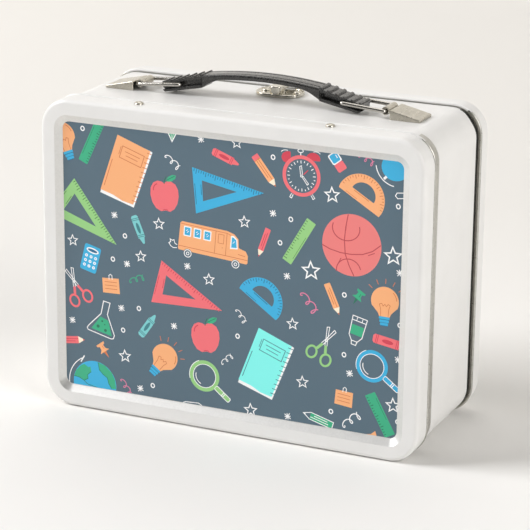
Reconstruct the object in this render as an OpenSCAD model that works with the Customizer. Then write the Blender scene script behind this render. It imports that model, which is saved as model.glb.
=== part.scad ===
// Metal lunch box: tin body band, riveted front cover, hinged back cover used as the door,
// printed aluminium inserts, drop handle on wire loops and an oval snap latch.
// +X is to the right, +Y points from the front to the back, +Z is up.
// The origin is the middle of the footprint, on the surface that the box stands on.

/* [Box] */
// Width over the curled beads
box_w = 216; // [190:1:250]
// Height from the resting surface to the top of the beads
box_h = 170.4; // [150:0.2:200]
// Depth from the front land to the back land
box_d = 94.4; // [88:0.2:120]
// Corner radius of the bead outline
corner_r = 16.5; // [16.2:0.1:19]
// Thickness of the tin sheet
sheet_t = 0.6; // [0.5:0.05:0.7]

/* [Covers] */
// Depth of the front cover's wall, from its land to the crease at the bead
front_wall_d = 13.8; // [12:0.2:16]
// Depth of the door's wall, from its land to the crease at the bead
door_wall_d = 10.8; // [10:0.2:13]
// Radius of the curled bead on each cover's open edge
bead_r = 0.8; // [0.7:0.05:0.8]
// How far the bead stands proud of the cover's wall
bead_proud = 1; // [0.9:0.05:1.1]
// Radius between a cover's wall and its land
edge_r = 2.4; // [1.5:0.1:2.5]
// Width of the land between the wall and the bevel
land_w = 7.15; // [6:0.05:7.5]
// Width of the sloped rim round the printed panel
bevel_w = 4.05; // [3:0.05:4.2]
// Depth of the printed panel below the land
recess_d = 2.4; // [1.8:0.1:3]
// Gap between the body and the door's bead
door_gap = 1.2; // [0.8:0.1:1.5]

/* [Hinge] */
// Distance of each hinge from the middle
hinge_x = 55; // [40:1:70]
// Length of one hinge
hinge_l = 29; // [24:1:34]
// Outer radius of the knuckles
knuckle_r = 1.4; // [1.35:0.05:1.45]
// Radius of the hinge pin
hinge_pin_r = 0.7; // [0.6:0.05:0.7]

/* [Handle] */
// Half the length of the handle
handle_half_l = 57.5; // [56:0.5:59]
// Half the length of the thin grip between the ribbed ends
grip_half_l = 32; // [30:0.5:34]
// Width of the handle
handle_w = 12.6; // [11:0.2:13]
// Height of the grip's highest point above the body
grip_top = 14.4; // [14:0.1:15]
// Thickness of the grip at its middle
grip_t = 2.9; // [2.5:0.1:3.5]
// Distance of each wire's pivot from the middle
pivot_x = 70; // [68:0.5:72]
// Height of the wires' pivots above the body
pivot_z = 3.9; // [3.7:0.1:4.2]
// Length of a wire loop, from its pivot to its hooks
wire_l = 24; // [23:0.1:24]
// Radius of the handle wire
wire_r = 1; // [0.8:0.05:1]

/* [Latch] */
// Width of the oval latch plate
latch_w = 26; // [24:0.5:28]
// Depth of the oval latch plate
latch_d = 19; // [18:0.5:20]
// Distance of the latch plate's centre behind the box's middle
latch_y = 20; // [19:0.5:20.5]
// Distance of the hasp's nose behind the box's middle
nose_y = 15; // [14.5:0.1:15.5]

/* [Hidden] */
$fn = 48;

// Each bead rests on a narrow flat, cut this far into its round
bead_flat = 0.1;
outline_h = box_h + bead_flat;
mid_z = outline_h / 2 - bead_flat;
front_y = -box_d / 2;
back_y = box_d / 2;

// Insets are measured inwards from the bead outline
wall_inset = bead_proud;
slip = 0.05;
body_inset = wall_inset + sheet_t + slip;
neck_clear = 0.7;
neck_inset = body_inset + neck_clear;
lip_inset = wall_inset + land_w;
floor_inset = lip_inset + bevel_w;
seat_inset = 15;
seam_y = front_y + front_wall_d;
door_bead_y = back_y - door_wall_d - 2 * bead_r;
body_rear_y = door_bead_y - door_gap;
body_lap = 8;
neck_l = 6.5;
joggle_t = 0.8;
top_z = box_h - body_inset;
floor_z = body_inset - bead_flat;

// Printed panel and its adhesive film
panel_t = 0.5;
film_t = 0.15;
cover_floor_d = recess_d + panel_t + film_t;

// Rivets
rivet_r = 1.3;
rivet_head_r = 2.3;
rivet_head_h = 0.9;
cover_rivet_x = 53.5;
cover_rivet_y = seam_y - 5.5;

// Hinge
hinge_y = body_rear_y + door_gap / 2;
hinge_z = knuckle_r + 0.15;
leaf_t = 0.75;
hinge_window = 0.5;
body_leaf_d = 13;
door_leaf_d = 9.5;
door_knuckle_l = 12;
knuckle_gap = 0.3;
pin_cap_t = 0.4;
pin_cap_proud = 0.35;
body_rivet_back = 3.5;
door_rivet_back = 2.6;
door_rivet_head_r = 1.9;
door_rivet_head_h = 0.5;
cut_clear = 0.5;

// Handle brackets
bracket_x0 = 73;
bracket_l = 16.5;
bracket_w = 17;
bracket_h = 5.1;
bracket_end_h = 1.4;
bracket_t = 0.7;
curl_r = 2.2;
curl_l = 12.6;
tab_l = 6;
tab_foot = 3.4;
tab_x = 8;
slot_clear = 0.25;

// Handle
handle_low_h = 5.5;
rib_pitch = 4.4;
rib_count = 6;
rib_h = 0.7;
rib_t = 1.5;
end_drop = 0.262;
low_drop = 0.2;
channel_h = 3.1;
web_w = 7;
leg_y = curl_l / 2 + 0.3 + wire_r;
rest_angle = 4.5;
arch_rise = 2.3;
first_rib = 1.2;
end_tip_h = 3;
low_plate_back = 2.5;
hook_x = pivot_x - wire_l * cos(rest_angle);
hook_h = pivot_z + wire_l * sin(rest_angle);
channel_drop = 0.23;
channel_in = 1.3;
channel_tip = 1.6;
hook_y = web_w / 2 + 0.5;

// Latch
latch_r = 8.5;
plate_t = 0.6;
rim_h = 1.7;
rim_t = 0.9;
nose_r = 3.6;
nose_t = 0.8;
hasp_t = 0.8;
hasp_h = 3.7;
hasp_w = 7.2;
hasp_pin_y = 38.6;
hasp_pin_r = 0.75;
hasp_knuckle_r = 1.6;
hasp_pin_h = 2.9;
ear_gap = 0.25;
ear_t = 1.2;
hasp_rivet_x = 2.1;
hasp_rivet_y = 42.5;
latch_rivet_x = 9;
latch_rivet_y = 22.5;
door_top_z = box_h - wall_inset;

// Stands a shape drawn in the XY plane upright, with its extrusion running along Y
module upright(y) {
    translate([0, y, mid_z]) rotate([90, 0, 0]) children();
}

// Rounded rectangle, inset from the bead outline
module rounded_rect(inset) {
    w = box_w - 2 * inset;
    h = outline_h - 2 * inset;
    r = corner_r - inset;
    union() {
        square([w - 2 * r, h], center = true);
        square([w, h - 2 * r], center = true);
        for (sx = [-1, 1], sy = [-1, 1])
            translate([sx * (w / 2 - r), sy * (h / 2 - r)]) circle(r);
    }
}

// Tube round the box between two insets, from depth y0 to y1
module band(outer, inner, y0, y1) {
    upright(y1) linear_extrude(height = y1 - y0) difference() {
        rounded_rect(outer);
        rounded_rect(inner);
    }
}

// Sweeps an outline round the box: x is the distance from the corner centre, y is depth
module around_box() {
    for (i = [0:3]) {
        side = i % 2 == 0 ? box_w / 2 - corner_r : outline_h / 2 - corner_r;
        run = i % 2 == 0 ? outline_h / 2 - corner_r : box_w / 2 - corner_r;
        rotate([0, 0, 90 * i]) translate([side, 0, 0]) {
            rotate([90, 0, 0]) linear_extrude(height = 2 * run, center = true) children();
            translate([0, run, 0]) rotate_extrude(angle = 90) children();
        }
    }
}

// Half section of a cover's stamped edge: wall, rounded edge, land, bevel and seat
module cover_section(wall_d) {
    wall = corner_r - wall_inset;
    lip = corner_r - lip_inset;
    foot = corner_r - floor_inset;
    seat = corner_r - seat_inset;
    drop = cover_floor_d - recess_d;
    union() {
        difference() {
            union() {
                translate([wall - edge_r, -edge_r]) circle(edge_r);
                translate([wall - sheet_t, -wall_d - bead_r])
                    square([sheet_t, wall_d + bead_r - edge_r]);
                translate([lip, -sheet_t]) square([wall - edge_r - lip, sheet_t]);
            }
            translate([wall - edge_r, -edge_r]) circle(edge_r - sheet_t);
            translate([lip - 1, -wall_d - 2])
                square([wall - sheet_t - lip + 1, wall_d + 2 - edge_r]);
            translate([lip - 1, -wall_d - 2])
                square([wall - edge_r - lip + 1, wall_d + 2 - sheet_t]);
        }
        polygon([[lip, 0], [lip, -drop], [foot, -cover_floor_d], [seat, -cover_floor_d],
            [seat, -cover_floor_d - sheet_t], [foot - 0.3, -cover_floor_d - sheet_t],
            [lip + 0.5, -drop - sheet_t], [lip + sheet_t, 0]]);
        translate([corner_r - bead_r, -wall_d - bead_r]) circle(bead_r);
    }
}

// Stamped cover with its land at depth 0, opening towards -Z
module cover_pan(wall_d) {
    around_box() cover_section(wall_d);
    translate([0, 0, -cover_floor_d - sheet_t]) linear_extrude(height = sheet_t)
        rounded_rect(seat_inset);
}

// Printed tray with its bevelled rim, seated in a cover whose land is at depth 0
module panel_tray() {
    lip = corner_r - lip_inset - slip;
    foot = corner_r - floor_inset;
    seat = corner_r - seat_inset;
    around_box() polygon([[lip, -slip], [foot, -recess_d], [seat, -recess_d],
        [seat, -recess_d - panel_t], [foot - 0.1, -recess_d - panel_t], [lip, -panel_t - 0.1]]);
    translate([0, 0, -recess_d - panel_t]) linear_extrude(height = panel_t)
        rounded_rect(seat_inset);
}

module panel_film() {
    translate([0, 0, -cover_floor_d]) linear_extrude(height = film_t) rounded_rect(seat_inset);
}

// Turns a front piece into the matching back piece
module facing_back() {
    translate([0, back_y, mid_z]) rotate([-90, 0, 0]) children();
}

module front_cover() {
    color("whitesmoke") difference() {
        upright(front_y) cover_pan(front_wall_d);
        below_rest();
        cover_rivet_holes();
    }
}

module back_cover() {
    color("whitesmoke") difference() {
        facing_back() cover_pan(door_wall_d);
        below_rest();
        for (side = [-1, 1])
            translate([side * hinge_x - hinge_l / 2 - cut_clear, door_bead_y - 1, -1])
                cube([hinge_l + 2 * cut_clear, 2 * bead_r + 1.3, 5]);
        for (side = [-1, 1], s = [-1, 1])
            translate([side * hinge_x + s * door_knuckle_l / 3, hinge_y + door_leaf_d - door_rivet_back, -1])
                cylinder(r = rivet_r, h = 5);
        for (s = [-1, 1])
            translate([s * hasp_rivet_x, hasp_rivet_y, door_top_z - 3])
                cylinder(r = rivet_r, h = 4);
    }
}

// The flats that the beads stand on
module below_rest() {
    translate([-box_w, -box_d, -5]) cube([2 * box_w, 2 * box_d, 5]);
}

module front_panel() {
    color("slategray") upright(front_y) panel_tray();
}

module back_panel() {
    color("slategray") facing_back() panel_tray();
}

module front_panel_adhesive() {
    color("gainsboro") upright(front_y) panel_film();
}

module back_panel_adhesive() {
    color("gainsboro") facing_back() panel_film();
}

module cover_rivet_holes() {
    for (side = [-1, 1]) {
        translate([side * cover_rivet_x, cover_rivet_y, top_z - 3]) cylinder(r = rivet_r, h = 6);
        translate([side * cover_rivet_x, cover_rivet_y, -1]) cylinder(r = rivet_r, h = 6);
    }
}

module body_band() {
    color("white") difference() {
        union() {
            band(body_inset, body_inset + sheet_t, seam_y - body_lap, body_rear_y);
            band(body_inset, neck_inset + sheet_t, body_rear_y - joggle_t, body_rear_y);
            band(neck_inset, neck_inset + sheet_t, body_rear_y - joggle_t, body_rear_y + neck_l);
        }
        cover_rivet_holes();
        for (side = [-1, 1]) hinge_body_cut(side * hinge_x);
        for (side = [-1, 1], s = [-1, 1]) bracket_slot(side, s);
        for (s = [-1, 1])
            translate([s * latch_rivet_x, latch_rivet_y, top_z - 2]) cylinder(r = rivet_r, h = 4);
    }
}

// Window for the knuckles and holes for the body leaf's rivets
module hinge_body_cut(x) {
    translate([x - hinge_l / 2 - cut_clear, hinge_y - knuckle_r - hinge_window, -1])
        cube([hinge_l + 2 * cut_clear, 2 * (knuckle_r + hinge_window), 5.5]);
    for (s = [-1, 1])
        translate([x + s * hinge_l / 4, hinge_y - body_leaf_d + body_rivet_back, -1])
            cylinder(r = rivet_r, h = 5);
}

// Solid rivet along Z: shank between two domed heads, standing on z = 0 with length l
module rivet(l, head_r = rivet_head_r, head_h = rivet_head_h, tail_h = rivet_head_h) {
    cylinder(r = rivet_r - 0.02, h = l);
    translate([0, 0, l]) rivet_head(head_r, head_h);
    mirror([0, 0, 1]) rivet_head(head_r, tail_h);
}

// Dome of radius r and height h with its flat on z = 0
module rivet_head(r, h) {
    ball = (r * r + h * h) / (2 * h);
    difference() {
        translate([0, 0, h - ball]) sphere(ball);
        translate([-2 * ball, -2 * ball, -4 * ball]) cube([4 * ball, 4 * ball, 4 * ball]);
    }
}

module front_cover_rivets() {
    grip = 2 * sheet_t + slip;
    color("silver") for (side = [-1, 1]) {
        translate([side * cover_rivet_x, cover_rivet_y, top_z - sheet_t]) rivet(grip);
        translate([side * cover_rivet_x, cover_rivet_y, floor_z + sheet_t]) mirror([0, 0, 1])
            rivet(grip, head_h = 0.75);
    }
}

// One knuckle along X, from x0 with length l, bored for the pin
module knuckle(x0, l, bore, r = knuckle_r) {
    translate([x0, 0, 0]) rotate([0, 90, 0]) difference() {
        cylinder(r = r, h = l);
        translate([0, 0, -1]) cylinder(r = bore, h = l + 2);
    }
}

module hinge_body_leaf(x) {
    outer_l = (hinge_l - door_knuckle_l) / 2 - knuckle_gap;
    color("silver") translate([x, hinge_y, hinge_z]) difference() {
        union() {
            for (s = [-1, 1]) {
                x0 = s < 0 ? -hinge_l / 2 : hinge_l / 2 - outer_l;
                translate([x0, 0, 0]) rotate([0, 90, 0]) cylinder(r = knuckle_r, h = outer_l);
                translate([x0, -knuckle_r - 0.6, knuckle_r - leaf_t])
                    cube([outer_l, knuckle_r + 0.6, leaf_t]);
            }
            translate([-hinge_l / 2, -body_leaf_d, knuckle_r - leaf_t])
                cube([hinge_l, body_leaf_d - knuckle_r - 0.4, leaf_t]);
        }
        translate([-hinge_l, 0, 0]) rotate([0, 90, 0])
            cylinder(r = hinge_pin_r + 0.01, h = 2 * hinge_l);
        for (s = [-1, 1])
            translate([s * hinge_l / 4, body_rivet_back - body_leaf_d, 0]) cylinder(r = rivet_r, h = 5);
    }
}

module hinge_door_leaf(x) {
    color("silver") translate([x, hinge_y, hinge_z]) difference() {
        union() {
            translate([-door_knuckle_l / 2, 0, 0]) rotate([0, 90, 0])
                cylinder(r = knuckle_r, h = door_knuckle_l);
            translate([-door_knuckle_l / 2, 0, -knuckle_r])
                cube([door_knuckle_l, door_leaf_d, leaf_t - 0.02]);
        }
        translate([-hinge_l, 0, 0]) rotate([0, 90, 0])
            cylinder(r = hinge_pin_r + 0.06, h = 2 * hinge_l);
        for (s = [-1, 1])
            translate([s * door_knuckle_l / 3, door_leaf_d - door_rivet_back, -3])
                cylinder(r = rivet_r, h = 5);
    }
}

module hinge_pin(x) {
    color("gray") translate([x - hinge_l / 2, hinge_y, hinge_z]) rotate([0, 90, 0]) {
        cylinder(r = hinge_pin_r, h = hinge_l);
        for (z = [-pin_cap_t, hinge_l]) translate([0, 0, z])
            cylinder(r = hinge_pin_r + pin_cap_proud, h = pin_cap_t);
    }
}

module body_leaf_rivets() {
    leaf_top = hinge_z + knuckle_r;
    color("silver") for (side = [-1, 1], s = [-1, 1])
        translate([side * hinge_x + s * hinge_l / 4, hinge_y - body_leaf_d + body_rivet_back, floor_z])
            rivet(leaf_top - floor_z, tail_h = 0.8);
}

module door_leaf_rivets() {
    low = hinge_z - knuckle_r;
    top = wall_inset - bead_flat + sheet_t;
    color("silver") for (side = [-1, 1], s = [-1, 1])
        translate([side * hinge_x + s * door_knuckle_l / 3, hinge_y + door_leaf_d - door_rivet_back, low]) {
            cylinder(r = rivet_r - 0.02, h = top - low + 0.1);
            translate([0, 0, top - low]) rivet_head(door_rivet_head_r, door_rivet_head_h);
        }
}

// Slots in the body's top for a bracket's tabs
module bracket_slot(side, s) {
    y = s * (bracket_w / 2 - bracket_t / 2);
    translate([side * (bracket_x0 + tab_x), y, top_z])
        cube([tab_l + 2 * slot_clear, bracket_t + 2 * slot_clear, 4], center = true);
}

// Folded wedge with a curled knuckle at its inner end, pointing to +X
module bracket() {
    base = top_z + slip;
    slope = (bracket_h - bracket_end_h) / bracket_l;
    inner_l = bracket_l - bracket_t;
    difference() {
        translate([bracket_x0, bracket_w / 2, base]) rotate([90, 0, 0])
            linear_extrude(height = bracket_w)
                polygon([[0, 0], [0, bracket_h], [bracket_l, bracket_end_h], [bracket_l, 0]]);
        translate([bracket_x0, bracket_w / 2 - bracket_t, base]) rotate([90, 0, 0])
            linear_extrude(height = bracket_w - 2 * bracket_t)
                polygon([[-1, -1], [-1, bracket_h + slope - bracket_t],
                    [inner_l, bracket_h - slope * inner_l - bracket_t], [inner_l, -1]]);
    }
    translate([pivot_x, 0, top_z + pivot_z]) rotate([90, 0, 0])
        cylinder(r = curl_r, h = curl_l, center = true);
    translate([pivot_x, -curl_l / 2, base + bracket_h - bracket_t - 0.1])
        cube([bracket_x0 - pivot_x + 0.6, curl_l, bracket_t]);
    for (s = [-1, 1]) {
        y0 = s > 0 ? bracket_w / 2 - bracket_t : -bracket_w / 2;
        foot = s > 0 ? bracket_w / 2 - tab_foot : -bracket_w / 2;
        translate([bracket_x0 + tab_x - tab_l / 2, y0, top_z - sheet_t - slip - bracket_t])
            cube([tab_l, bracket_t, sheet_t + 2 * slip + bracket_t + 0.5]);
        translate([bracket_x0 + tab_x - tab_l / 2, foot, top_z - sheet_t - slip - bracket_t])
            cube([tab_l, tab_foot, bracket_t]);
    }
}

module bored_bracket() {
    difference() {
        bracket();
        translate([pivot_x, 0, top_z + pivot_z]) rotate([90, 0, 0])
            cylinder(r = wire_r + 0.08, h = 2 * curl_l, center = true);
    }
}

module left_bracket() {
    color("tan") mirror([1, 0, 0]) bored_bracket();
}

module right_bracket() {
    color("tan") bored_bracket();
}

// Wire loop: bar through the curl, two legs, and hooks that slide in the handle
module wire_loop() {
    translate([pivot_x, 0, top_z + pivot_z]) rotate([0, rest_angle, 0]) {
        rotate([90, 0, 0]) cylinder(r = wire_r, h = 2 * leg_y, center = true);
        for (s = [-1, 1]) translate([0, s * leg_y, 0]) {
            sphere(wire_r);
            rotate([0, -90, 0]) cylinder(r = wire_r, h = wire_l);
            translate([-wire_l, 0, 0]) {
                sphere(wire_r);
                rotate([s * 90, 0, 0]) cylinder(r = wire_r, h = leg_y - hook_y);
            }
        }
    }
}

module left_wire() {
    color("silver") mirror([1, 0, 0]) wire_loop();
}

module right_wire() {
    color("silver") wire_loop();
}

// Handle: a thin arched grip between two ribbed ends that slope down to the brackets
module handle() {
    color("dimgray") union() {
        handle_grip();
        for (side = [0, 1]) mirror([side, 0, 0]) handle_end();
    }
}

module handle_grip() {
    arc_r = (grip_half_l * grip_half_l + arch_rise * arch_rise) / (2 * arch_rise);
    under_l = grip_half_l + 0.5;
    translate([0, 0, top_z + grip_top - arc_r]) rotate([90, 0, 0]) difference() {
        cylinder(r = arc_r, h = handle_w, center = true, $fn = 180);
        cylinder(r = arc_r - grip_t, h = handle_w + 2, center = true, $fn = 180);
        translate([-arc_r - 1, -arc_r - 1, -handle_w])
            cube([2 * arc_r + 2, 2 * arc_r - grip_t - arch_rise + 0.3, 2 * handle_w]);
        for (s = [-1, 1]) translate([s * (under_l + 50), arc_r, 0])
            cube([100, 60, 2 * handle_w], center = true);
    }
}

// One ribbed end, sloping down towards +X, with side channels for the wire's hooks
module handle_end() {
    top0 = grip_top - arch_rise;
    end_l = handle_half_l - grip_half_l;
    translate([grip_half_l, handle_w / 2, top_z]) rotate([90, 0, 0]) difference() {
        union() {
            linear_extrude(height = handle_w) polygon([[0, handle_low_h], [0, top0],
                [end_l, top0 - end_drop * end_l], [end_l, top0 - end_drop * end_l - end_tip_h],
                [end_l - low_plate_back,
                    handle_low_h - low_drop * (end_l - low_plate_back)]]);
            for (i = [0:rib_count - 1]) handle_rib(first_rib + i * rib_pitch, top0);
        }
        for (z = [-1, handle_w / 2 + web_w / 2]) translate([0, 0, z]) linear_extrude(
            height = handle_w / 2 - web_w / 2 + 1) hook_channel();
    }
}

// Rib across the top of the handle's end, x from the end's start
module handle_rib(x, top0) {
    linear_extrude(height = handle_w) polygon([[x, top0 - end_drop * x - 0.5],
        [x, top0 - end_drop * x + rib_h], [x + rib_t, top0 - end_drop * (x + rib_t) + rib_h],
        [x + rib_t, top0 - end_drop * (x + rib_t) - 0.5]]);
}

// Side view of the channel that a hook slides along
module hook_channel() {
    x0 = hook_x - grip_half_l - channel_in;
    x1 = handle_half_l - grip_half_l - channel_tip;
    mid0 = hook_h + channel_drop * channel_in;
    mid1 = mid0 - channel_drop * (x1 - x0);
    polygon([[x0, mid0 - channel_h / 2], [x0, mid0 + channel_h / 2],
        [x1, mid1 + channel_h / 2], [x1, mid1 - channel_h / 2]]);
}

// Flat oval outline of the latch plate
module latch_outline(inset) {
    r = latch_r - inset;
    x = latch_w / 2 - latch_r;
    y = latch_d / 2 - latch_r;
    union() {
        square([2 * x, 2 * (y + r)], center = true);
        square([2 * (x + r), 2 * y], center = true);
        for (sx = [-1, 1], sy = [-1, 1]) translate([sx * x, sy * y]) circle(r);
    }
}

module latch_base() {
    color("silver") translate([0, latch_y, top_z + slip]) difference() {
        union() {
            linear_extrude(height = plate_t) latch_outline(0);
            linear_extrude(height = rim_h) difference() {
                latch_outline(0);
                latch_outline(rim_t);
                translate([-nose_r - 1.4, 0]) square([2 * nose_r + 2.8, latch_d]);
            }
        }
        for (s = [-1, 1]) translate([s * latch_rivet_x, latch_rivet_y - latch_y, -1])
            cylinder(r = rivet_r, h = 4);
    }
}

module latch_base_rivets() {
    color("silver") for (s = [-1, 1]) translate([s * latch_rivet_x, latch_rivet_y, top_z - sheet_t])
        rivet(sheet_t + slip + plate_t, head_h = 1.2, head_r = 2.5);
}

// Strap hinged on the door, with a rounded nose turned down into the latch plate
module latch_hasp() {
    strap_z = top_z + hasp_h;
    pin_z = door_top_z + hasp_pin_h;
    color("silver") difference() {
        union() {
            translate([-hasp_w / 2, nose_y, strap_z]) cube([hasp_w, hasp_pin_y - nose_y, hasp_t]);
            translate([0, nose_y, strap_z]) cylinder(r = nose_r, h = hasp_t);
            translate([0, nose_y, top_z + slip + plate_t + 0.3])
                cylinder(r = nose_r, h = hasp_h - plate_t - slip - 0.2);
            translate([-hasp_w / 2, hasp_pin_y, pin_z]) rotate([0, 90, 0])
                cylinder(r = hasp_knuckle_r, h = hasp_w);
        }
        translate([0, nose_y, top_z]) cylinder(r = nose_r - nose_t, h = hasp_h);
        translate([-nose_r - 1, nose_y, top_z]) cube([2 * nose_r + 2, nose_r + 1, hasp_h]);
        translate([-hasp_w, hasp_pin_y, pin_z]) rotate([0, 90, 0])
            cylinder(r = hasp_pin_r + 0.06, h = 2 * hasp_w);
    }
}

// Channel with two ears, riveted on top of the door
module hasp_bracket() {
    base = door_top_z + slip;
    half = hasp_w / 2 + ear_gap;
    pin_z = door_top_z + hasp_pin_h;
    color("silver") difference() {
        union() {
            translate([-half - ear_t, hasp_rivet_y - 2, base])
                cube([2 * (half + ear_t), 4, sheet_t]);
            for (s = [0, 1]) mirror([s, 0, 0]) {
                translate([half, hasp_pin_y, pin_z]) rotate([0, 90, 0])
                    cylinder(r = hasp_knuckle_r, h = ear_t);
                translate([half, hasp_pin_y - hasp_knuckle_r, base])
                    cube([ear_t, hasp_knuckle_r + 3, pin_z - base]);
            }
        }
        translate([-15, hasp_pin_y, pin_z]) rotate([0, 90, 0])
            cylinder(r = hasp_pin_r + 0.01, h = 30);
        for (s = [-1, 1]) translate([s * hasp_rivet_x, hasp_rivet_y, base - 1])
            cylinder(r = rivet_r, h = 4);
    }
}

module hasp_pin() {
    half = hasp_w / 2 + ear_gap + ear_t;
    color("gray") translate([-half, hasp_pin_y, door_top_z + hasp_pin_h]) rotate([0, 90, 0]) {
        cylinder(r = hasp_pin_r, h = 2 * half);
        for (z = [-pin_cap_t, 2 * half]) translate([0, 0, z])
            cylinder(r = hasp_pin_r + pin_cap_proud, h = pin_cap_t);
    }
}

module hasp_bracket_rivets() {
    low = door_top_z - sheet_t;
    color("silver") for (s = [-1, 1])
        translate([s * hasp_rivet_x, hasp_rivet_y, low])
            rivet(2 * sheet_t + slip, head_r = 1.6, head_h = 0.7, tail_h = 0.7);
}

body_band();
front_cover();
back_cover();
front_panel();
back_panel();
front_panel_adhesive();
back_panel_adhesive();
front_cover_rivets();
hinge_body_leaf(-hinge_x);  // left_hinge_body_leaf
hinge_body_leaf(hinge_x);  // right_hinge_body_leaf
hinge_door_leaf(-hinge_x);  // left_hinge_door_leaf
hinge_door_leaf(hinge_x);  // right_hinge_door_leaf
hinge_pin(-hinge_x);  // left_hinge_pin
hinge_pin(hinge_x);  // right_hinge_pin
body_leaf_rivets();
door_leaf_rivets();
left_bracket();
right_bracket();
left_wire();
right_wire();
handle();
latch_base();
latch_base_rivets();
latch_hasp();
hasp_bracket();
hasp_pin();
hasp_bracket_rivets();
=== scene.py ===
import math
import bmesh
import bpy
from mathutils import Matrix, Vector, geometry


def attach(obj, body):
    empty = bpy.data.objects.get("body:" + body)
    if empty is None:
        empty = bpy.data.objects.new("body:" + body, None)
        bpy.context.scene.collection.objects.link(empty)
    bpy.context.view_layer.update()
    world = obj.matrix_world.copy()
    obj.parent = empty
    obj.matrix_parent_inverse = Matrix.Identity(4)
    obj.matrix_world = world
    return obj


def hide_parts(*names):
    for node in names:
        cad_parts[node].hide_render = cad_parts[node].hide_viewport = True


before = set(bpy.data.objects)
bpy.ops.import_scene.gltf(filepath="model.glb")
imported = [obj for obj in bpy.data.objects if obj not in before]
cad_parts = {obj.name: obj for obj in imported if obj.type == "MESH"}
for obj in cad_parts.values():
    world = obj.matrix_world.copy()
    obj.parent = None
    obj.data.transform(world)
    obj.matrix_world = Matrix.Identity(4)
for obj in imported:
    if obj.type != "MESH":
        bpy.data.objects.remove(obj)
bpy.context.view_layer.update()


# ---- Camera, floor and studio lights -------------------------------------------------
# The box stands on a pale seamless floor in a bright room, seen from its front left,
# a little from above. A broad soft light hangs on the left, with a low warm one beside
# it, another stands on the right, and the pale ceiling shows in the metal.
camera_data = bpy.data.cameras.new("camera")
camera_data.lens = 154.3
camera_data.sensor_width = 36
camera_data.clip_start = 0.02
camera_data.clip_end = 30
camera = bpy.data.objects.new("camera", camera_data)
bpy.context.scene.collection.objects.link(camera)
camera_right = Vector((0.91081, 0.41270, 0.00983))
camera_up = Vector((-0.13162, 0.26777, 0.95445))
camera_back = Vector((0.39127, -0.87062, 0.29821))
camera_turn = Matrix((camera_right, camera_up, camera_back)).transposed().to_4x4()
camera.matrix_world = Matrix.Translation((0.4750, -1.0544, 0.4408)) @ camera_turn
bpy.context.scene.camera = camera


def new_material(name):
    """A node material with its shader, ready for the finish's own nodes."""
    material = bpy.data.materials.new(name)
    material.use_nodes = True
    nodes = material.node_tree.nodes
    nodes.clear()
    shader = nodes.new("ShaderNodeBsdfPrincipled")
    output = nodes.new("ShaderNodeOutputMaterial")
    material.node_tree.links.new(shader.outputs["BSDF"], output.inputs["Surface"])
    return material, nodes, material.node_tree.links, shader


def set_sockets(shader, **values):
    """Constant values on the shader, with _ for the space in a socket's name."""
    for name, value in values.items():
        shader.inputs[name.replace("_", " ")].default_value = value


def spread(nodes, links, source, low, high, start=0.3, end=0.7):
    """Spreads a pattern between two values, for roughness or a mask."""
    span = nodes.new("ShaderNodeMapRange")
    span.inputs["From Min"].default_value = start
    span.inputs["From Max"].default_value = end
    span.inputs["To Min"].default_value = low
    span.inputs["To Max"].default_value = high
    links.new(source, span.inputs["Value"])
    return span.outputs["Result"]


def two_tones(nodes, links, source, tone_a, tone_b, start=0.35, end=0.65):
    """Mixes two close tones of a colour through a pattern."""
    ramp = nodes.new("ShaderNodeValToRGB")
    ramp.color_ramp.elements[0].position = start
    ramp.color_ramp.elements[1].position = end
    ramp.color_ramp.elements[0].color = (*tone_a, 1)
    ramp.color_ramp.elements[1].color = (*tone_b, 1)
    links.new(source, ramp.inputs["Fac"])
    return ramp.outputs["Color"]


def add_mesh(name, points, faces, materials, smooth=True):
    """A piece from its points and faces, in metres in the box's own frame."""
    mesh = bpy.data.meshes.new(name)
    mesh.from_pydata([tuple(p) for p in points], [], faces)
    mesh.validate()
    for material in materials:
        mesh.materials.append(material)
    for polygon in mesh.polygons:
        polygon.use_smooth = smooth
    piece = bpy.data.objects.new(name, mesh)
    bpy.context.scene.collection.objects.link(piece)
    return piece


paper, nodes, links, shader = new_material("studio_paper")
place = nodes.new("ShaderNodeTexCoord")
apart = nodes.new("ShaderNodeSeparateXYZ")
links.new(place.outputs["Object"], apart.inputs["Vector"])
# The paper is coloured darker towards the back, a painted shade of the light falling away.
back_shade = spread(nodes, links, apart.outputs["Y"], 0, 1, -0.35, 0.45)
tone = two_tones(nodes, links, back_shade, (0.88, 0.875, 0.86), (0.77, 0.755, 0.725), 0, 1)
links.new(tone, shader.inputs["Base Color"])
set_sockets(shader, Roughness=0.8, Specular_IOR_Level=0.2)
sweep_profile = [(-2.6, 0.0), (1.1, 0.0)]
for step in range(1, 13):
    turn = math.radians(90 * step / 12)
    sweep_profile.append((1.1 + 0.5 * math.sin(turn), 0.5 - 0.5 * math.cos(turn)))
sweep_profile.append((1.6, 3.0))
floor_points = [(x, y, z) for x in (-3.2, 3.2) for y, z in sweep_profile]
count = len(sweep_profile)
floor = add_mesh("floor", floor_points,
                 [(i, i + count, i + count + 1, i + 1) for i in range(count - 1)], [paper])


def soft_light(name, place, aim, size, power, colour):
    """A square softbox at a place, turned to what it lights."""
    data = bpy.data.lights.new(name, "AREA")
    data.shape = "RECTANGLE"
    data.size, data.size_y = size
    data.energy = power
    data.color = colour
    light = bpy.data.objects.new(name, data)
    light.location = place
    light.rotation_euler = (Vector(aim) - Vector(place)).to_track_quat("-Z", "Y").to_euler()
    bpy.context.scene.collection.objects.link(light)
    return light


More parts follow.
